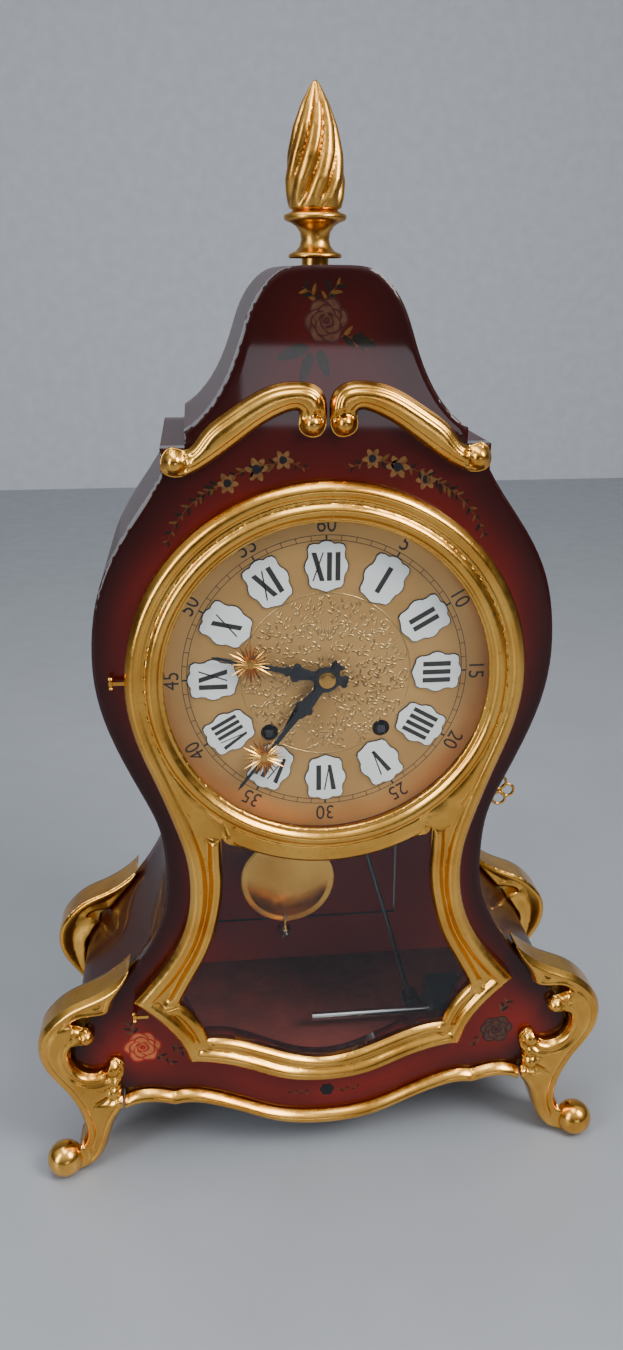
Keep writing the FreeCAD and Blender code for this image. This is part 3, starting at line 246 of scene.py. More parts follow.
GILT = gilt("gilt_polished", (0.84, 0.455, 0.095), (0.64, 0.29, 0.045))
GILT_SOFT = gilt("gilt_soft", (0.76, 0.40, 0.085), (0.52, 0.23, 0.038), (0.24, 0.36))
LACQUER = lacquer("red_lacquer", (0.225, 0.0115, 0.005), (0.026, 0.002, 0.0015))
LACQUER_SIDE = lacquer("side_lacquer", (0.165, 0.008, 0.004), (0.020, 0.002, 0.0015), 0.12, 0.2)
LACQUER_BACK = lined_lacquer("back_lacquer", 0.04705)
LACQUER_DOOR = lined_lacquer("door_lacquer", 0.04805)
DIAL_GOLD = dial_gold()
RELIEF_GOLD = gilt("dial_relief_gold", (0.66, 0.43, 0.17), (0.34, 0.19, 0.06), (0.26, 0.38))
MOVEMENT = brushed("movement_brass", (0.66, 0.46, 0.16), 0.22, (1, 1, 0.05))
STEEL = brushed("bright_steel", (0.62, 0.62, 0.62), 0.16, (0.05, 1, 1))
BLACK = plain("blued_black", (0.012, 0.012, 0.014), 0.28, 0.3)
INK = plain("dial_ink", (0.018, 0.013, 0.010), 0.45)
ENAMEL = plain("white_enamel", (0.84, 0.85, 0.83), 0.08, 0.0, 0.93, 60, 0.03, Coat_Weight=0.6)
IRON = plain("cast_iron", (0.03, 0.03, 0.03), 0.55, 0.6, 0.6, 300, 0.5)
INNER_WOOD = plain("inner_wood", (0.15, 0.018, 0.010), 0.6, 0.0, 0.6, 70, 0.3)
CRYSTAL = clear_glass("clear_crystal")
ROSE_RED = flower_paint("rose_red", (0.36, 0.020, 0.007))
ROSE_PINK = flower_paint("rose_pink", (0.56, 0.15, 0.045))
ROSE_FADED = flower_paint("rose_faded", (0.085, 0.034, 0.020))
ROSE_BROWN = flower_paint("rose_brown", (0.045, 0.012, 0.009))
PETAL_OCHRE = flower_paint("petal_ochre", (0.17, 0.08, 0.026), 0.5, 500)
FLOWER_DARK = flower_paint("flower_dark", (0.010, 0.010, 0.014), 0.7, rough=0.3)
LEAF_DARK = flower_paint("leaf_dark", (0.011, 0.009, 0.005), 0.5, 500)
STEM_GOLD = flower_paint("stem_gold", (0.13, 0.055, 0.014), 0.6, 500, 0.35, 0.3, 0.1)
# darkened steel: on the winding arbors the dark tone is painted shade, standing for the shade deep
# in the winding holes; the strike hammer shares it
DARK_STEEL_AND_PAINTED_SHADE = brushed("dark_steel_and_painted_shade", (0.10, 0.10, 0.11), 0.30, (0.05, 1, 1))

NODE_MATERIAL = {
    "lacquer": LACQUER, "gilt": GILT, "dial_brass": DIAL_GOLD, "enamel": ENAMEL,
    "crystal": CRYSTAL, "movement_brass": MOVEMENT, "steel": STEEL, "inner_wood": INNER_WOOD,
    "iron": IRON, "hand_steel": BLACK}
OWN_MATERIAL = {
    "side_wall_left": LACQUER_SIDE, "side_wall_right": LACQUER_SIDE, "crown_cover": LACQUER_SIDE,
    "shoulder_ledges": LACQUER_SIDE, "back_panel": LACQUER_BACK, "back_door": LACQUER_DOOR,
    # winding arbors darkened as painted shade inside their holes
    "strike_hammer": DARK_STEEL_AND_PAINTED_SHADE, "winding_arbor_left": DARK_STEEL_AND_PAINTED_SHADE,
    "winding_arbor_right": DARK_STEEL_AND_PAINTED_SHADE}
for node_name, node_object in NODES.items():
    node_object.data.materials.clear()
    node_object.data.materials.append(
        OWN_MATERIAL.get(node_name, NODE_MATERIAL[SLOT_OF[node_name]]))
    node_object.data.shade_smooth()
    node_object.data.set_sharp_from_angle(angle=radians(CREASE))


# ---- mesh makers
def added(name, data):
    """A new object in the scene."""
    item = bpy.data.objects.new(name, data)
    bpy.context.scene.collection.objects.link(item)
    return item


def piece(name, mesh, body, material, sharp=CREASE):
    """A finished mesh as a piece of the clock."""
    item = added(name, mesh)
    mesh.materials.clear()
    mesh.materials.append(material)
    mesh.shade_smooth()
    mesh.set_sharp_from_angle(angle=radians(sharp))
    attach(item, body)
    return item


def mesh_from(shape, name):
    """A bmesh as a new mesh; the bmesh is used up."""
    mesh = bpy.data.meshes.new(name)
    shape.to_mesh(mesh)
    shape.free()
    return mesh


def shape_of(verts, faces):
    """Vertices and faces as a bmesh, and its faces as a list."""
    shape = bmesh.new()
    made = [shape.verts.new(v) for v in verts]
    return shape, [shape.faces.new([made[i] for i in face]) for face in faces]


def mesh_of(name, verts, faces):
    """Mesh from vertices and faces, normals made consistent."""
    mesh = bpy.data.meshes.new(name)
    mesh.from_pydata(verts, [], faces)
    shape = bmesh.new()
    shape.from_mesh(mesh)
    bmesh.ops.recalc_face_normals(shape, faces=shape.faces)
    shape.to_mesh(mesh)
    shape.free()
    return mesh


def circle(count):
    """Evenly spaced angles round a turn."""
    return [2 * pi * k / count for k in range(count)]


def on_dial(x, y, z):
    """A place given by x and z in millimetres from the dial centre."""
    return (DIAL.x + x * MM, y, DIAL.z + z * MM)


def across(points, i):
    """Unit normal of a flat path at its point i."""
    (ax, az), (bx, bz) = points[max(i - 1, 0)], points[min(i + 1, len(points) - 1)]
    length = hypot(bx - ax, bz - az) or 1.0
    return (az - bz) / length, (bx - ax) / length


def skin(verts, faces, rings, closed=False, capped=True):
    """Joins rings of points one after the other, with flat ends if capped."""
    around = len(rings[0])
    rows = [len(verts) + around * i for i in range(len(rings))]
    for ring in rings:
        verts.extend(ring)
    for low, high in zip(rows, rows[1:] + rows[:1] * closed):
        for k in range(around):
            j = (k + 1) % around
            faces.append((low + k, low + j, high + j, high + k))
    if capped:
        faces.append(tuple(rows[0] + k for k in range(around))[::-1])
        faces.append(tuple(rows[-1] + k for k in range(around)))


class Sheet:
    """Collects flat shapes, in millimetres from the dial centre, into one thin mesh."""

    def __init__(self, y):
        self.verts = []
        self.faces = []
        self.y = y

    def prism(self, points, thick, y=None, dome=0.0):
        """A closed outline given as (x, z)."""
        face_y = self.y if y is None else y
        base = len(self.verts)
        count = len(points)
        self.verts += [on_dial(x, face_y + back, z) for back in (0.0, thick * MM)
                       for x, z in points]
        cx, cz = (sum(p[axis] for p in points) / count for axis in (0, 1))
        top = len(self.verts)
        self.verts.append(on_dial(cx, face_y - dome * MM, cz))
        for i in range(count):
            j = (i + 1) % count
            self.faces.append((base + i, base + j, top))
            self.faces.append((base + i, base + count + i, base + count + j, base + j))
        self.faces.append(tuple(base + count + i for i in range(count))[::-1])

    def strip(self, points, width, thick):
        """A narrow band along a path, tapering to its end."""
        rings = []
        for i, (x, z) in enumerate(points):
            nx, nz = across(points, i)
            half = width / 2 * (1 - 0.85 * i / (len(points) - 1))
            rings.append([on_dial(x + side * nx * half, self.y + back * MM, z + side * nz * half)
                          for side, back in ((1, 0), (-1, 0), (-1, thick), (1, thick))])
        skin(self.verts, self.faces, rings)

    def ring(self, inner, outer, thick):
        """A flat ring about the dial centre."""
        skin(self.verts, self.faces,
             [[on_dial(radius * sin(a), self.y + back * MM, radius * cos(a))
               for a in circle(180)]
              for radius, back in ((inner, 0), (outer, 0), (outer, thick), (inner, thick))],
             closed=True, capped=False)

    def make(self, name, body, material, slot=None):
        return piece(name, mesh_of(name, self.verts, self.faces), body, material)


def smooth(low, high, value):
    """Smooth step from 0 at low to 1 at high."""
    share = np.clip((value - low) / (high - low), 0, 1)
    return share * share * (3 - 2 * share)


def segments(loops):
    """Starts and ends of the straight edges of closed loops."""
    return np.vstack(loops), np.vstack([np.roll(loop, -1, 0) for loop in loops])


def in_blocks(points, work):
    """Work done on the points a block at a time, to keep the arrays small."""
    return np.concatenate([work(points[i:i + BLOCK]) for i in range(0, len(points), BLOCK)])


def distances(points, starts, ends):
    """Shortest distance from each point to a set of segments."""
    line = ends - starts
    size = np.maximum((line ** 2).sum(1), 1e-12)

    def shortest(block):
        block = block[:, None, :]
        share = np.clip(((block - starts) * line).sum(2) / size, 0, 1)
        gap = block - (starts + share[..., None] * line)
        return np.sqrt((gap ** 2).sum(2).min(1))
    return in_blocks(points, shortest)


def inside(points, starts, ends):
    """Even-odd test against closed loops given as segments."""
    def odd(block):
        x, z = block[:, 0, None], block[:, 1, None]
        crosses = (starts[:, 1] > z) != (ends[:, 1] > z)
        with np.errstate(divide="ignore", invalid="ignore"):
            at = starts[:, 0] + (z - starts[:, 1]) * (ends[:, 0] - starts[:, 0]) / (
                ends[:, 1] - starts[:, 1])
        return (crosses & (x < at)).sum(1) % 2 == 1
    return in_blocks(points, odd)


def rows_inside(loops, offsets, pitch):
    """Points in rows that run parallel to every edge, as the mesh lines of a moulding."""
    starts, ends = segments(loops)
    rows = []
    for loop in loops:
        closed = np.vstack([loop, loop[:1]])
        lengths = np.r_[0, np.cumsum(np.sqrt((np.diff(closed, axis=0) ** 2).sum(1)))]
        count = max(int(lengths[-1] / pitch), 8)
        at = np.arange(count) * lengths[-1] / count
        places = np.c_[np.interp(at, lengths, closed[:, 0]), np.interp(at, lengths, closed[:, 1])]
        tangent = np.roll(places, -1, 0) - np.roll(places, 1, 0)
        tangent /= np.maximum(np.sqrt((tangent ** 2).sum(1))[:, None], 1e-9)
        normal = np.c_[-tangent[:, 1], tangent[:, 0]]
        normal[~inside(places + normal * 0.05, starts, ends)] *= -1
        for offset in offsets:
            moved = places + normal * offset
            clear = distances(moved, starts, ends) > offset - 0.04
            rows.append(moved[clear & inside(moved, starts, ends)])
    points = np.vstack(rows)
    cell = np.round(points / MERGE_CELL).astype(int)
    _, unique = np.unique(cell, axis=0, return_index=True)
    return points[np.sort(unique)]


def front_loops(shape):
    """Takes the flat front off a mesh; returns its height and edge loops, as lists of vertices."""
    areas = {}
    for face in shape.faces:
        if face.normal.y < -0.999:
            key = round(face.calc_center_median().y, 5)
            areas[key] = areas.get(key, 0) + face.calc_area()
    plane = max(areas, key=areas.get)
    front = [f for f in shape.faces
             if f.normal.y < -0.999 and abs(f.calc_center_median().y - plane) < 2e-5]
    bmesh.ops.delete(shape, geom=front, context="FACES")
    shape.edges.index_update()
    waiting = {e for e in shape.edges if e.is_boundary}
    loops = []
    while waiting:
        edge = min(waiting, key=lambda e: e.index)
        waiting.discard(edge)
        start, here = edge.verts
        loop = [start]
        while here is not start:
            loop.append(here)
            follow = [e for e in here.link_edges if e in waiting]
            if not follow:
                break
            waiting.discard(follow[0])
            here = follow[0].other_vert(here)
        loops.append(loop)
    return plane, loops


def settle_walls(walls, edge_verts, plane):
    """Draws wall vertices back behind their lowered rim, kept in their order."""
    rim = np.array([v.co[:] for v in edge_verts])
    back = max(v.co.y for v in walls)
    for vert in walls:
        edge_y = rim[((rim[:, (0, 2)] - (vert.co.x, vert.co.z)) ** 2).sum(1).argmin(), 1]
        limit = edge_y + min(MM, (back - edge_y) / 2)
        if vert.co.y < limit and edge_y > plane:
            vert.co.y = limit - (limit - vert.co.y) * (limit - edge_y) / (limit - plane)


def carved(name, node, depth_of, offsets, pitch, material, border_and_painted_light_of=None):
    """A CAD node with its flat front carved: depth_of gives millimetres below that front."""
    shape = bmesh.new()
    shape.from_mesh(NODES[node].data)
    # optional vertex layer carrying painted light and shade, with the lacquer's own border, for the
    # lacquer shader
    border_and_painted_light_layer = shape.verts.layers.float.new("border_and_painted_light") if border_and_painted_light_of else None
    bmesh.ops.remove_doubles(shape, verts=shape.verts, dist=1e-6)
    plane, loops = front_loops(shape)
    flat = [np.array([((v.co.x - DIAL.x) / MM, (v.co.z - DIAL.z) / MM) for v in loop])
            for loop in loops]
    starts, ends = segments(flat)
    points = np.vstack([starts, rows_inside(flat, offsets, pitch)])
    edge_verts = [v for loop in loops for v in loop]
    held = set(edge_verts)
    walls = [v for v in shape.verts if v not in held]
    links = []
    for loop in loops:
        first = len(links)
        links += [(first + i, first + (i + 1) % len(loop)) for i in range(len(loop))]
    depth = depth_of(points, flat)
    border_and_painted_light = border_and_painted_light_of(points, flat) if border_and_painted_light_of else None
    made = delaunay_2d_cdt([Vector(p) for p in points], links, [], 0, 1e-6)
    placed, triangles, origin = made[0], made[2], made[3]
    places = np.array([tuple(p) for p in placed])
    verts = []
    for (x, z), ids in zip(places, origin):
        known = [i for i in ids if i < len(edge_verts)]
        source = known[0] if known else (ids[0] if ids else None)
        y = plane + (0.0 if source is None else depth[source]) * MM
        if known:
            vert = edge_verts[source]
            vert.co.y = y
        else:
            vert = shape.verts.new(on_dial(x, y, z))
        if border_and_painted_light_of and source is not None:
            vert[border_and_painted_light_layer] = border_and_painted_light[source]
        verts.append(vert)
    settle_walls(walls, edge_verts, plane)
    centres = np.array([places[list(t)].mean(0) for t in triangles])
    for triangle, wanted in zip(triangles, inside(centres, starts, ends)):
        if wanted:
            shape.faces.new([verts[i] for i in triangle])
    bmesh.ops.recalc_face_normals(shape, faces=shape.faces)
    shape.verts.index_update()
    rim = {frozenset((edge_verts[a].index, edge_verts[b].index)) for a, b in links}
    mesh = mesh_from(shape, name)
    item = piece(name, mesh, BODY_OF[node], material, SOFT_CREASE)
    for edge in mesh.edges:
        if frozenset(edge.vertices) in rim:
            edge.use_edge_sharp = True
    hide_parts(node)


# ---- frame and gilt mounts
SKIRT_OF_RING = [(88.5, 2.7), (89.0, 2.1), (90, 1.8), (92.5, 1.7), (95, 2.0), (97, 2.6),
                 (98.6, 3.7), (200, 9.0)]
ROUND_RING = (81.4, 88.6, 2.8)                  # inner radius, outer radius, height
OUTER_BAND = (4.3, 4.3, 4.2, 0.9, 3.5)          # centre, width before and after, top, rise
INNER_BEAD = (3.3, 3.3, 3.3, 0.7, 3.2)
FRAME_GROOVE = 4.6                              # deepest cut of the lower frame
LIP = [(79.5, 3.2), (79.9, 2.6), (80.5, 2.3), (81.1, 2.5), (81.4, 2.8)]
WINDOW_TOP = 99.2                               # radius of the window's arched top edge
SKIRT_END = 112.7                               # half length of the skirt
TOE = (148.3, -282.6)
FOOT_CURLS = ((131.3, -202.8, 4.6), (118.6, -224.8, 5.4), (119.6, -240.7, 5.0))  # x, z, radius


def along(profile, value):
    """A profile's depth at a distance."""
    return np.interp(value, [p[0] for p in profile], [p[1] for p in profile])


def swell(value, centre, before, after, top, rise):
    """Depth of a rounded band: top at its centre, falling by rise to each side."""
    share = np.where(value < centre, (centre - value) / before, (value - centre) / after)
    return top + rise * share ** 2


def outer_of(loops):
    """The outline among a face's loops."""
    return max(loops, key=lambda loop: np.ptp(loop[:, 1]))


def edge_gap(points, loops):
    """Distance to the nearest edge of any loop."""
    return distances(points, *segments(loops))


def frame_depth(points, loops):
    """Moulding of the door frame: round bezel running into the waisted lower frame."""
    outer = outer_of(loops)
    rest = [loop for loop in loops if loop is not outer]
    window = min(rest, key=lambda loop: loop[:, 1].mean())
    far = np.hypot(points[:, 0], points[:, 1])
    to_outer = edge_gap(points, [outer])
    ends = np.roll(window, -1, 0)
    side = np.hypot(*((window + ends) / 2).T) > WINDOW_TOP
    to_window = distances(points, window[side], ends[side])
    low, high, height = ROUND_RING
    ring = swell(far, (low + high) / 2, (high - low) / 2, (high - low) / 2, 0, height)
    inner = along(LIP, far)
    apron = along(SKIRT_OF_RING, far) + 5 * (1 - smooth(5.2, 8.2, to_outer))
    band = np.minimum(swell(to_outer, *OUTER_BAND), swell(to_window, *INNER_BEAD))
    outside = np.minimum(np.minimum(band, FRAME_GROOVE), apron)
    return np.where(far < low, inner, np.where(far < high, ring, outside))


def curl(points, depth, centre, radius, crown):
    """A round boss laid over a relief."""
    gap = np.hypot(points[:, 0] - centre[0], points[:, 1] - centre[1])
    share = np.clip(gap / radius, 0, 1)
    boss = crown + 4.6 * share ** 2.4
    ditch = 1.5 * np.exp(-((gap - radius * 1.12) / 0.8) ** 2)
    return np.where(gap < radius, np.minimum(boss, depth + 9), depth + ditch)


def scroll_depth(side):
    """Leaf-like scroll with a double ridge and a curl at each end."""
    def depth_of(points, loops):
        gap = edge_gap(points, loops)
        depth = 5.6 * np.exp(-(gap / 2.0) ** 1.2) + 0.9 * np.exp(-((gap - 3.0) / 0.7) ** 2)
        depth = curl(points, depth, (side * 69.6, 107), 5.6, 0.3)
        return np.minimum(curl(points, depth, (side * 7.3, 123.1), 5.2, 0.4), 6.2)
    return depth_of


def skirt_depth(points, loops):
    """Half-round skirt moulding, running on into the feet at its ends."""
    starts, ends = segments(loops)
    long = np.minimum(abs(starts[:, 0]), abs(ends[:, 0])) < SKIRT_END
    gap = np.minimum(distances(points, starts[long], ends[long]), 4.2)
    return 4.4 * (1 - gap / 4.2) ** 2


def dish_depth(points, loops):
    """Hollow inner face of a rear foot with a rounded rim."""
    gap = edge_gap(points, loops)
    return 1.5 * np.exp(-(gap / 0.9) ** 2) + 3.2 * smooth(1.6, 11, gap)


def panel_depth(points, loops):
    """Front panel with its outer edge softened."""
    return 1.3 * (1 - smooth(-1.2, 1.8, edge_gap(points, [outer_of(loops)])))


def panel_glow(points, loops):
    """How red the lacquer shows: darkest at the outline, where the lacquer has its own dark border,
    rising to full red by the door as painted light; darker over the crown as painted shade, and
    lighter at the skirt centre as painted light.
    """
    gap = edge_gap(points, [outer_of(loops)])
    # painted shade: the crown is darkened
    crown = smooth(20, 120, points[:, 1])
    # painted light: a brighter patch of red at the middle of the skirt
    painted_skirt_light = smooth(-225, -250, points[:, 1]) * (1 - smooth(30, 110, abs(points[:, 0])))
    return np.clip(smooth(1, 30, gap) * (1 - 0.86 * crown) + 0.35 * painted_skirt_light, 0, 1)


def foot_depth(side):
    """C-scroll and leg: a rounded rim, a hollow inside it and a raised middle."""
    def depth_of(points, loops):
        starts, ends = segments(loops)
        joint = (abs(starts[:, 0]) < 114.6) & (abs(ends[:, 0]) < 114.6)
        joint &= (starts[:, 1] < -244) & (ends[:, 1] < -244)
        gap = distances(points, starts[~joint], ends[~joint])
        depth = 4.6 * np.exp(-(gap / 1.6) ** 1.3) + 1.5 * np.exp(-((gap - 4.6) / 1.1) ** 2)
        for x, z, radius in FOOT_CURLS:
            depth = curl(points, depth, (side * x, z), radius, 0.2)
        toe = np.hypot(points[:, 0] - side * TOE[0], points[:, 1] - TOE[1])
        return np.clip(depth, 0, 6.5) * smooth(10.0, 14.0, toe)
    return depth_of


def make_mounts():
    """Carved versions of the lacquered front and of every gilt piece with a flat CAD front."""
    near = [0.15, 0.35, 0.6, 0.9, 1.3, 1.8, 2.4]
    wide = near + [3.1, 3.8, 4.5, 5.1, 5.7, 6.3, 7.0, 7.7, 8.4, 9.1, 9.8]
    narrow = near + [3.0, 3.6, 4.3, 5.1, 6.0, 7.0, 8.2]
    carved("carved_door_frame", "door_frame", frame_depth, wide, 1.5, GILT)
    for side, name in ((1, "right"), (-1, "left")):
        for kind, node, depth_of, pitch in (
                ("carved_scroll_", "scroll_mount_", scroll_depth(side), 0.8),
                ("carved_front_foot_", "front_foot_", foot_depth(side), 1.0),
                ("dished_back_foot_", "back_foot_", dish_depth, 1.6)):
            carved(kind + name, node + name, depth_of, narrow, pitch, GILT)
    carved("carved_skirt", "skirt_moulding", skirt_depth,
           [0.12, 0.3, 0.55, 0.9, 1.3, 1.8, 2.5, 3.3, 4.1], 1.4, GILT)
    # the front panel carries painted light and shade, with its own dark border, in a vertex layer
    carved("lacquered_front", "front_panel", panel_depth,
           [0.3, 0.8, 1.5, 3, 5, 8, 12, 17, 23, 30, 38, 48], 3.0, LACQUER, panel_glow)


# ---- finial
def make_finial():
    """Turned pedestal and a flame whose flutes wind upwards."""
    foot_z, axis_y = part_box("finial")[0].z, middle("finial").y
    pedestal = [(0.0, 6.4), (3.0, 6.4), (3.1, 12.2), (4.0, 12.8), (5.0, 12.4), (6.2, 9.4),
                (8.5, 7.4), (11.2, 6.7), (14.5, 7.2), (17.2, 9.2), (18.6, 11.6), (19.6, 14.3),
                (20.8, 14.9), (22.0, 14.6), (23.2, 11.6), (24.0, 10.4)]
    girth = [(0, 12.2), (0.08, 13.3), (0.24, 14.2), (0.44, 13.0), (0.65, 10.3), (0.82, 6.7),
             (0.93, 3.4), (0.98, 1.7), (1.0, 0.3)]
    flame_low, flame_high = 24.0, 77.9
    steps = 64
    angles = circle(96)
    rings = [[(radius, height)] * len(angles) for height, radius in pedestal]
    for i in range(1, steps + 1):
        share = i / steps
        height = flame_low + (flame_high - flame_low) * share
        body = float(along(girth, share))
        fade = min(share / 0.12, 1) * min((1 - share) / 0.05, 1)
        twist = 1.25 * share + 0.35 * sin(3 * share)
        cuts = [(1 - abs(sin(4 * (a - twist)))) ** 1.5 for a in angles]
        rings.append([(body * (1 - 0.21 * cut * fade), height) for cut in cuts])
    verts, faces = [], []
    skin(verts, faces, [[(DIAL.x + radius * MM * sin(a), axis_y - radius * MM * cos(a),
                          foot_z + height * MM) for a, (radius, height) in zip(angles, ring)]
                        for ring in rings])
    item = piece("flame_finial", mesh_of("flame_finial", verts, faces), "case", GILT_SOFT,
                 SOFT_CREASE)
    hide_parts("finial")


# ---- dial
ROMAN = ["XII", "I", "II", "III", "IIII", "V", "VI", "VII", "VIII", "IX", "X", "XI"]
LETTER_WIDTH = {"I": 4.3, "V": 7.0, "X": 7.2}
BADGE_RADIUS = 55.7
INK_HEIGHT = 0.06
LETTER_HALF = 7.0
LETTER_STROKES = {                              # left and right edge at the foot, then the head
    "I": [(-1.25, 1.25, -1.25, 1.25)],
    "V": [(-0.7, 1.0, -3.4, -0.9), (-0.1, 0.5, 2.3, 3.0)],
    "X": [(0.9, 3.4, -3.4, -0.9), (-2.9, -2.2, 2.2, 2.9)]}


def turned(points, angle, radius):
    """Points (right, out) carried to a dial angle, in degrees clockwise from twelve."""
    a = radians(angle)
    return [(x * cos(a) + (radius + z) * sin(a),
             -x * sin(a) + (radius + z) * cos(a)) for x, z in points]


def letter_bars(letter, x):
    """Outlines of one roman letter centred at x."""
    h = LETTER_HALF
    return [[(x + a, -h), (x + b, -h), (x + d, h), (x + c, h)]
            for a, b, c, d in LETTER_STROKES[letter]]


def badge_outline():
    """Scalloped cartouche of an hour badge."""
    half = [(0, 12.4), (2.2, 12.0), (3.7, 10.9), (6.0, 11.1), (8.1, 10.5), (9.0, 8.6), (8.6, 6.2),
            (8.8, 4.0), (9.8, 2.4), (10.4, 0), (9.8, -2.4), (8.7, -4.0), (8.3, -6.2), (8.2, -8.4),
            (7.0, -10.2), (4.6, -10.7), (2.4, -11.6), (0, -12.4)]
    return half + [(-x, z) for x, z in half[-2:0:-1]]


def make_badges():
    """White enamel hour badges with dark edges and roman numerals."""
    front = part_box("numeral_badges")[0].y
    enamel = Sheet(front)
    edge = Sheet(front + 0.25 * MM)
    ink = Sheet(front - 0.12 * MM)
    for hour, text in enumerate(ROMAN):
        angle = 30 * hour
        shape = badge_outline()
        enamel.prism(turned(shape, angle, BADGE_RADIUS), 0.7, dome=0.1)
        edge.prism(turned([(x * 1.045, z * 1.035) for x, z in shape], angle, BADGE_RADIUS), 0.7)
        total = sum(LETTER_WIDTH[c] for c in text)
        squeeze = min(1.0, 15.0 / total)
        x = -total / 2
        for c in text:
            for bar in letter_bars(c, x + LETTER_WIDTH[c] / 2):
                ink.prism(turned([(px * squeeze, pz) for px, pz in bar], angle, BADGE_RADIUS),
                          0.12)
            x += LETTER_WIDTH[c]
    shown = enamel.make("enamel_badges", "case", ENAMEL, "enamel")
    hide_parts("numeral_badges")
    edge.make("badge_edges", "case", BLACK)
    ink.make("roman_numerals", "case", INK)


def make_track():
    """Minute track with its cross lines and a row of arabic numbers outside it."""
    track = Sheet(DIAL_Y - INK_HEIGHT * MM)
    for radius in (68.4, 70.9):
        track.ring(radius - 0.16, radius + 0.16, INK_HEIGHT)
    for minute in range(60):
        wide = 0.42 if minute % 5 == 0 else 0.16
        track.prism(turned([(-wide, -1.3), (wide, -1.3), (wide, 1.3), (-wide, 1.3)], 6 * minute,
                           69.65), INK_HEIGHT)
        if minute % 5 == 0:
            track.prism(turned([(0, -1.5), (0.9, 0), (0, 1.5), (-0.9, 0)], 6 * minute, 67.0),
                        INK_HEIGHT)
    track.make("minute_track", "case", INK)
    verts, faces = [], []
    for minute in range(5, 65, 5):
        text = bpy.data.curves.new("number", "FONT")
        text.body = str(minute)
        text.size = 11.2
        text.align_x = "CENTER"
        text.align_y = "CENTER"
        holder = added("number", text)
        graph = bpy.context.evaluated_depsgraph_get()
        flat = bpy.data.meshes.new_from_object(holder.evaluated_get(graph))
        base = len(verts)
        spots = turned([(v.co.x * 0.88, v.co.y) for v in flat.vertices], 6 * minute, 75.8)
        verts += [on_dial(x, DIAL_Y - INK_HEIGHT * MM, z) for x, z in spots]
        faces += [tuple(base + i for i in p.vertices) for p in flat.polygons]
        bpy.data.objects.remove(holder)
        bpy.data.meshes.remove(flat)
        bpy.data.curves.remove(text)
    shape, made = shape_of(verts, faces)
    out = bmesh.ops.extrude_face_region(shape, geom=made)
    for item in out["geom"]:
        if isinstance(item, bmesh.types.BMVert):
            item.co.y += INK_HEIGHT * MM
    bmesh.ops.recalc_face_normals(shape, faces=shape.faces)
    piece("minute_numbers", mesh_from(shape, "minute_numbers"), "case", INK)


def polar(cx, cz, radius, angle):
    """The point at a distance and angle from a centre."""
    return cx + radius * cos(angle), cz + radius * sin(angle)


def spiral(cx, cz, radius, start, turns):
    """A curl as points."""
    eye, steps = 0.15, 11
    shares = [i / steps for i in range(steps + 1)]
    return [polar(cx, cz, radius * (1 - (1 - eye) * share ** 0.8),
                  start + turns * 2 * pi * share) for share in shares]


def tube(verts, faces, points, radius):
    """A low round ridge on the dial along a path, thinning at both ends."""
    rings = []
    for i, (x, z) in enumerate(points):
        nx, nz = across(points, i)
        share = i / (len(points) - 1)
        r = radius * min(1, 0.25 + 3 * share, 0.2 + 2.4 * (1 - share))
        rings.append([on_dial(x + nx * r * cos(t), DIAL_Y - r * 0.6 * sin(t) * MM,
                              z + nz * r * cos(t)) for t in circle(6)])
    skin(verts, faces, rings)


def make_foliage():
    """Embossed scrolling leaves filling the middle of the dial, mirrored left and right."""
    verts, faces = [], []
    chance = random.Random(7)
    arbors = [middle("winding_arbor_" + side) for side in ("right", "left")]
    holes = [((a.x - DIAL.x) / MM, (a.z - DIAL.z) / MM) for a in arbors]
    spots = []
    for _ in range(5000):
        r, a = 40.0 * sqrt(chance.random()), pi * (chance.random() - 0.5)
        x, z = polar(0, 0, r, a)
        clear = all(hypot(x - p[0], z - p[1]) > 5.0 for p in spots)
        if x > 1.9 and r > 6 and clear and all(hypot(x - h[0], z - h[1]) > 7.5 for h in holes):
            spots.append((x, z))
    for x, z in spots:
        size = chance.uniform(1.9, 2.6)
        start = atan2(z, x) + chance.uniform(-0.9, 0.9)
        turns = chance.choice((-1, 1)) * chance.uniform(0.75, 1.1)
        runs = [spiral(x, z, size, start, turns)]
        for leaf in range(3):
            lean = start + (leaf - 1) * 0.75 + chance.uniform(-0.2, 0.2)
            bow = chance.uniform(-0.5, 0.5)
            runs.append([polar(x, z, size * 0.9 + t, lean + bow * t / 3)
                         for t in (0, 0.8, 1.6, 2.4, 3.1)])
        for run in runs:
            if max(hypot(*p) for p in run) < 41.6:
                tube(verts, faces, run, 0.5)
                tube(verts, faces, [(-px, pz) for px, pz in run], 0.5)
    for first, last in ((-38, 218), (234, 306)):
        steps = 2 * (last - first) // 3
        arc = [first + (last - first) * i / steps for i in range(steps + 1)]
        tube(verts, faces, [polar(0, 0, 42.3, radians(a)) for a in arc], 0.34)
    piece("dial_foliage", mesh_of("dial_foliage", verts, faces), "case", RELIEF_GOLD,
          SOFT_CREASE)


# ---- hands
def hand_angle(node):
    """Clockwise angle of a hand, from its point farthest from the dial centre."""
    tip = max((v.co for v in NODES[node].data.vertices),
              key=lambda c: (c.x - DIAL.x) ** 2 + (c.z - DIAL.z) ** 2)
    return degrees(atan2(tip.x - DIAL.x, tip.z - DIAL.z))


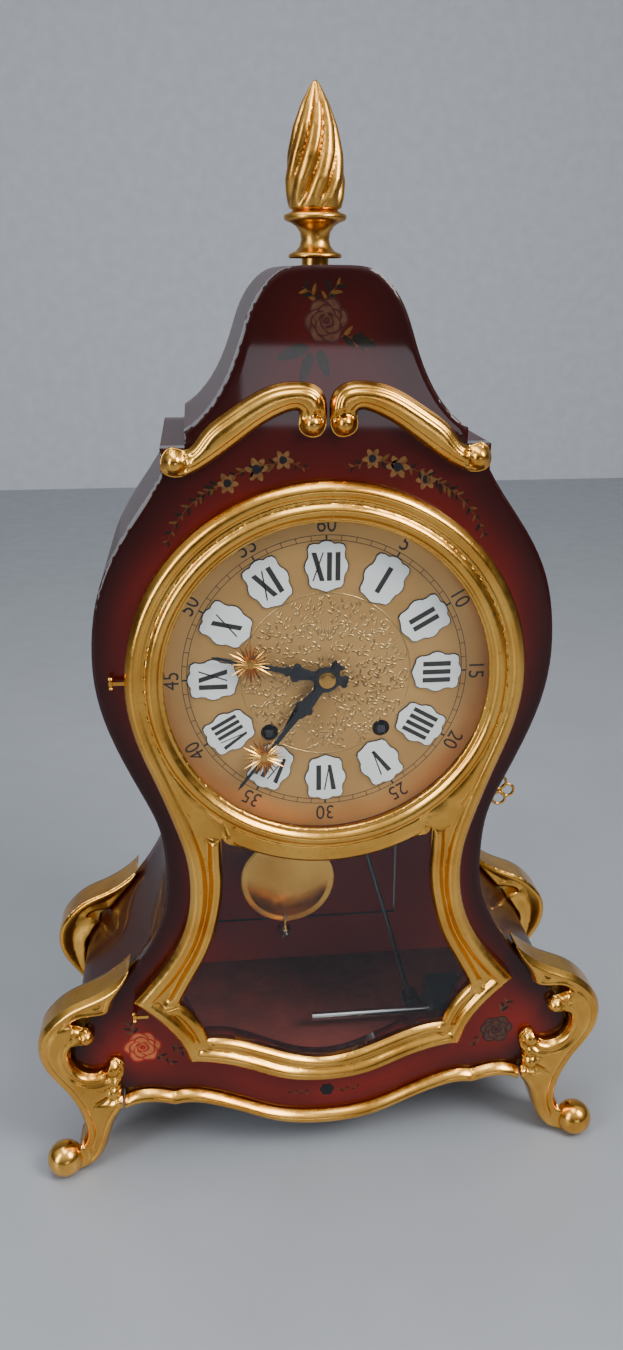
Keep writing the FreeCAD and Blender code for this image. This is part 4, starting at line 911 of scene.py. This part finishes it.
def hand_outline(star, length, fleur):
    """Right half of a pierced baroque hand, from its tail to its tip."""
    return [(0, -10.5), (1.6, -9.6), (2.9, -10.6), (3.4, -8.6), (2.2, -7.4), (3.0, -6.0),
            (5.0, -4.6), (6.0, -2.2), (6.3, 0), (5.9, 2.4), (4.7, 4.8), (2.6, 6.6), (2.4, 8.2),
            (3.2, fleur - 3.8), (4.6, fleur - 2.6), (5.0, fleur - 0.6),
            (3.6, fleur + 0.6), (2.0, fleur + 1.4), (2.8, fleur + 3.2),
            (1.5, fleur + 4.6), (1.15, star - 3), (0.9, star + 6), (0.75, length - 3),
            (0.12, length)]


def make_hand(node, star, length, fleur):
    """Black hand drawn over its CAD blade, rounded on its front."""
    low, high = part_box(node)
    angle = hand_angle(node)
    half = hand_outline(star, length, fleur)
    outline = half + [(-x, z) for x, z in half[::-1] if x > 0]
    front = [(x * 0.72, z) for x, z in outline]
    verts, faces = [], []
    skin(verts, faces, [[on_dial(x, y, z) for x, z in turned(points, angle, 0)]
                        for points, y in ((outline, high.y), (outline, low.y + 0.25 * MM),
                                          (front, low.y))])
    shape, made = shape_of(verts, faces)
    bmesh.ops.triangulate(shape, faces=made[-2:])
    bmesh.ops.recalc_face_normals(shape, faces=shape.faces)
    mesh = mesh_from(shape, "baroque_" + node)
    item = piece("baroque_" + node, mesh, node, BLACK)
    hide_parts(node)


def make_sunburst(node, body):
    """Fine gilt rays of two lengths with a raised eye."""
    low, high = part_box(node)
    centre = middle(node)
    verts, faces = [], []
    root, lengths = 1.8, (12.0, 10.0, 11.2, 9.6)
    for i, a in enumerate(circle(24)):
        length = lengths[i % 4]
        belly = length * 0.5
        base = len(verts)
        for out, aside, y in ((root, -0.3, high.y), (root, 0.3, high.y), (belly, -0.62, high.y),
                              (belly, 0.62, high.y), (length, 0, high.y), (root, 0, low.y),
                              (belly, 0, low.y)):
            verts.append((centre.x + (out * sin(a) + aside * cos(a)) * MM, y,
                          centre.z + (out * cos(a) - aside * sin(a)) * MM))
        faces += [tuple(base + k for k in f) for f in
                  ((0, 1, 3, 2), (2, 3, 4), (0, 2, 6, 5), (2, 4, 6), (1, 5, 6, 3), (3, 6, 4),
                   (0, 5, 1))]
    skin(verts, faces, [[(centre.x + radius * sin(a) * MM, y,
                          centre.z + radius * cos(a) * MM) for a in circle(20)]
                        for radius, y in ((2.6, high.y), (2.5, low.y + 0.15 * MM), (1.4, low.y),
                                          (0.9, low.y))])
    item = piece("rayed_" + node, mesh_of("rayed_" + node, verts, faces), body, GILT, 20)
    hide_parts(node)


def lathe(verts, faces, x, y, z, sections):
    """Turned shape on a vertical axis; sections are (height, radius) in mm."""
    skin(verts, faces, [[(x + r * MM * cos(b), y + r * MM * sin(b), z + up * MM)
                         for b in circle(16)] for up, r in sections])


def make_front_hinges():
    """Slim front hinges: ball-ended pins on the case, small arms and barrels on the door."""
    hinge = next(j for j in frame["record"]["behaviour"]["joints"]
                 if j["name"] == "front_door_hinge")
    x, y = hinge["pos_m"][:2]
    shape = bmesh.new()
    shape.from_mesh(NODES["hinge_posts"].data)
    front = [v for v in shape.verts if v.co.y < 0]
    heights = sorted({round(v.co.z, 3) for v in front})
    split = (heights[0] + heights[-1]) / 2
    levels = [[h for h in heights if (h > split) == upper] for upper in (False, True)]
    bmesh.ops.delete(shape, geom=front, context="VERTS")
    posts = piece("back_hinge_posts", mesh_from(shape, "back_hinge_posts"), "case", GILT)
    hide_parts("hinge_posts")
    pins, arms = ([], []), ([], [])
    for level in levels:
        z = (level[0] + level[-1]) / 2
        lathe(*pins, x, y, z, [(-3.4, 0.2), (-3.0, 1.0), (-2.3, 1.3), (-1.7, 0.9), (-1.5, 0.6),
                               (1.6, 0.6), (1.8, 1.1), (2.5, 1.5), (3.3, 1.1), (3.7, 0.2)])
        lathe(*arms, x, y, z, [(-1.4, 0.7), (-1.3, 1.1), (1.3, 1.1), (1.4, 0.7)])
        skin(*arms, [[(x + out * MM, y + b * MM, z + c * MM)
                      for b, c in ((-0.5, -0.9), (-0.5, 0.9), (0.5, 0.9), (0.5, -0.9))]
                     for out in (0.6, 7.5)])
    piece("front_hinge_pins", mesh_of("front_hinge_pins", *pins), "case", GILT)
    arm = piece("front_hinge_arms", mesh_of("front_hinge_arms", *arms), "front_door", GILT)
    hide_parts("door_fittings")


def make_key():
    """Door key: turned stem and a bow of three wire loops."""
    _, y, z = middle("door_key")
    loop, wire = 3.5, 0.75
    verts, faces = [], []
    for x, up in ((100.6, 0), (96.2, 4.6), (96.2, -4.6)):
        skin(verts, faces, [[((x + (loop + wire * cos(b)) * cos(a)) * MM,
                              y + wire * sin(b) * MM,
                              z + (up + (loop + wire * cos(b)) * sin(a)) * MM)
                             for b in circle(8)] for a in circle(24)], closed=True, capped=False)
    skin(verts, faces, [[(x * MM, y + r * sin(b) * MM, z + r * cos(b) * MM)
                         for b in circle(16)]
                        for x, r in ((73.2, 0.2), (73.3, 1.5), (87.5, 1.5), (87.8, 2.5),
                                     (89.2, 2.7), (90.4, 1.6), (92.6, 1.4), (93.8, 1.9),
                                     (95.4, 1.6), (96.4, 0.3))], capped=False)
    item = piece("bowed_key", mesh_of("bowed_key", verts, faces), "door_key", GILT,
                 SOFT_CREASE)
    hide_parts("door_key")


# ---- painted flowers
PAINT_Y = PANEL_Y - 0.05 * MM


def blob(cx, cz, length, width, angle, lobes=0, reach=0.0):
    """Leaf or petal outline starting at reach from a centre; angle in degrees from +X."""
    points = []
    a = radians(angle)
    for t in circle(20):
        r = 1 + 0.12 * cos(lobes * t)
        x = reach + length / 2 * cos(t) * r + length / 2
        z = width / 2 * sin(t) * r * (1 - 0.25 * cos(t))
        points.append((cx + x * cos(a) - z * sin(a), cz + x * sin(a) + z * cos(a)))
    return points


class Painter:
    """Layers of paint on the lacquer; later strokes lie over earlier ones."""

    def __init__(self):
        self.layers = {}
        self.level = 0

    def sheet(self, material):
        return self.layers.setdefault(material.name, (material, Sheet(PAINT_Y)))[1]

    def stroke(self, material, points):
        self.level += 1
        lift = 0.02 + 0.003 * self.level
        self.sheet(material).prism(points, 0.08 + lift, PAINT_Y - lift * MM)

    def line(self, material, points, width):
        self.sheet(material).strip(points, width, 0.05)

    def finish(self):
        for name, (material, sheet) in self.layers.items():
            sheet.make("painted_" + name, "case", material, "lacquer")


def rose(paint, cx, cz, size, light, deep, chance):
    """Open rose: rings of round lapped petals, dark between them and in the heart."""
    paint.level = 0
    for ring, (away, wide, count) in enumerate(((0.28, 0.46, 6), (0.18, 0.36, 5), (0.10, 0.25, 4),
                                                (0.04, 0.16, 3))):
        for k in range(count):
            angle = 360 * k / count + 31 * ring + chance.uniform(-10, 10)
            rim, fill = (deep, light) if ring < 2 else (light, deep)
            for tone, share, shift in ((rim, 1.0, 0.0), (fill, 0.86, -0.02)):
                span = size * wide * share
                reach = size * (away + shift) - span / 2
                paint.stroke(tone, blob(cx, cz, span, span * 1.08, angle, 0, reach))


def daisy(paint, cx, cz, size, chance):
    """Small flower with a dark eye and pale petals."""
    paint.level = 0
    count = 6
    for k in range(count):
        angle = 360 * k / count + chance.uniform(-8, 8)
        paint.stroke(PETAL_OCHRE, blob(cx, cz, size * 0.42, size * 0.34, angle, 2, size * 0.16))
    paint.stroke(FLOWER_DARK, blob(cx - size * 0.2, cz, size * 0.4, size * 0.4, 0))


def spray(paint, path, width, leaf, chance):
    """Curving stem with paired leaves."""
    paint.level = 0
    paint.line(STEM_GOLD, path, width)
    for i in range(1, len(path) - 1):
        (ax, az), (bx, bz) = path[i - 1], path[i + 1]
        heading = degrees(atan2(bz - az, bx - ax))
        for side in (1, -1):
            size = leaf * chance.uniform(0.7, 1.1) * (1 - 0.4 * i / len(path))
            tone = LEAF_DARK if (i + (side > 0)) % 2 else STEM_GOLD
            paint.stroke(tone, blob(path[i][0], path[i][1], size, size * 0.32,
                                    heading + side * chance.uniform(35, 60)))


def bend(start, end, sag, count):
    """A shallow arc between two points."""
    dx, dz = end[0] - start[0], end[1] - start[1]
    length = hypot(dx, dz)
    points = []
    for i in range(count):
        s = i / (count - 1)
        off = sag * 4 * s * (1 - s)
        points.append((start[0] + dx * s - dz / length * off,
                       start[1] + dz * s + dx / length * off))
    return points


def paint_flowers():
    """Roses on the crown and lower corners, daisies and sprays above the bezel."""
    chance = random.Random(11)
    paint = Painter()

    def stem(start, end, sag, count, leaf, width=0.5):
        spray(paint, bend(start, end, sag, count), width, leaf, chance)

    stem((2, 160), (18, 154), 3, 5, 6.5)
    stem((-2, 172), (7, 183), 2, 5, 6.0)
    stem((-5, 172), (-12, 181), -2, 5, 6.0)
    for x, z, length, width, angle in ((-10, 156, 13, 6, 200), (-8, 153, 12, 5, 250),
                                       (-4, 154, 11, 5, 290), (11, 160, 10, 5, -20)):
        paint.stroke(LEAF_DARK, blob(x, z, length, width, angle, 2))
    rose(paint, -1, 167, 19, ROSE_FADED, ROSE_BROWN, chance)
    for side in (-1, 1):
        stem((side * 20, 106), (side * 62, 88), side * 4, 11, 4.5)
        stem((side * 48, 97), (side * 76, 66), side * 5, 10, 4.5, 0.45)
        stem((side * 18, 107), (side * 8, 103), side * 1, 4, 3.5, 0.4)
        for x, z, size in ((46, 97, 8.5), (32.5, 103, 9.5), (20.5, 107, 8)):
            daisy(paint, side * x, z, size, chance)
    stem((-99, -219), (-84, -229), 2, 6, 4.5)
    stem((-104, -208), (-108, -196), 1, 5, 5)
    stem((-88, -214), (-78, -222), 1, 5, 4, 0.4)
    rose(paint, -101.6, -214.5, 20, ROSE_PINK, ROSE_RED, chance)
    stem((99, -219), (84, -231), -2, 6, 4.5)
    stem((101, -210), (106, -199), 1, 5, 5)
    rose(paint, 99, -219.6, 18, ROSE_FADED, ROSE_BROWN, chance)
    rose(paint, 1.4, -253.6, 8, LEAF_DARK, FLOWER_DARK, chance)
    for side in (-1, 1):
        stem((side * 6, -253.5), (side * 22, -252), side * -1.5, 6, 3, 0.35)
    paint.finish()


# ---- stage and camera
def stage_plane(name, place, tilt, material):
    """A large flat surface that isn't part of the clock."""
    bpy.ops.mesh.primitive_plane_add(size=12, location=place, rotation=(radians(tilt), 0, 0))
    item = bpy.context.object
    item.name = name
    item.data.materials.append(material)


def area_light(name, place, aim, size, power, colour):
    """Soft rectangular light."""
    data = bpy.data.lights.new(name, "AREA")
    data.shape = "RECTANGLE"
    data.size, data.size_y = size
    data.energy = power
    data.color = colour
    item = added(name, data)
    item.location = place
    item.rotation_euler = (Vector(aim) - Vector(place)).to_track_quat("-Z", "Y").to_euler()


def make_stage():
    """Pale floor and wall, soft lights, and the camera."""
    floor = plain("stage_floor", (0.27, 0.285, 0.31), 0.38, 0, 0.95, 12, 0.02)
    wall = plain("stage_wall", (0.60, 0.63, 0.68), 0.9, 0, 0.92, 40, 0.4)
    stage_plane("stage_floor", (0, 0, 0), 0, floor)
    stage_plane("stage_wall", (0, 2.0, 0), 90, wall)
    world = bpy.data.worlds.new("room")
    bpy.context.scene.world = world
    world.use_nodes = True
    tree = world.node_tree
    coords = tree.nodes.new("ShaderNodeTexCoord")
    split = tree.nodes.new("ShaderNodeSeparateXYZ")
    ramp = tree.nodes.new("ShaderNodeValToRGB")
    points = ramp.color_ramp.elements
    points.new(0.3)
    for point, (place, grey) in zip(points, ((0.0, 0.05), (0.3, 0.16), (0.8, 1.0))):
        point.position = place
        point.color = (grey * 0.92, grey * 0.97, grey, 1)
    tree.links.new(coords.outputs["Generated"], split.inputs[0])
    tree.links.new(split.outputs["Z"], ramp.inputs["Fac"])
    tree.links.new(ramp.outputs["Color"], tree.nodes["Background"].inputs["Color"])
    tree.nodes["Background"].inputs["Strength"].default_value = 0.85
    area_light("key", (0.85, -0.75, 1.25), (0, 0, 0.3), (0.55, 0.75), 24, (1.0, 0.98, 0.95))
    area_light("fill", (-1.0, -0.75, 0.75), (0, 0, 0.3), (0.35, 1.1), 11, (0.94, 0.97, 1.0))
    area_light("window", (0.30, -1.5, 0.285), (0.0, 0, 0.33), (0.56, 0.14), 0.9, (0.9, 0.9, 1.0))
    area_light("top", (-0.2, -0.1, 1.7), (0, 0, 0.3), (1.2, 0.6), 15, (0.95, 0.97, 1.0))
    camera = bpy.data.cameras.new("camera")
    camera.lens = 28.34
    camera.clip_start = 0.01
    item = added("camera", camera)
    item.location = (-0.0595, -0.5391, 0.4793)
    item.rotation_euler = (radians(69.18), 0, radians(-6.12))
    bpy.context.scene.camera = item


make_mounts()
make_finial()
make_badges()
make_track()
make_foliage()
make_hand("hour_hand", 38.4, 57.7, 17)
make_hand("minute_hand", 51.2, 73.3, 20)
make_sunburst("hour_sunburst", "hour_hand")
make_sunburst("minute_sunburst", "minute_hand")
make_front_hinges()
make_key()
paint_flowers()
make_stage()
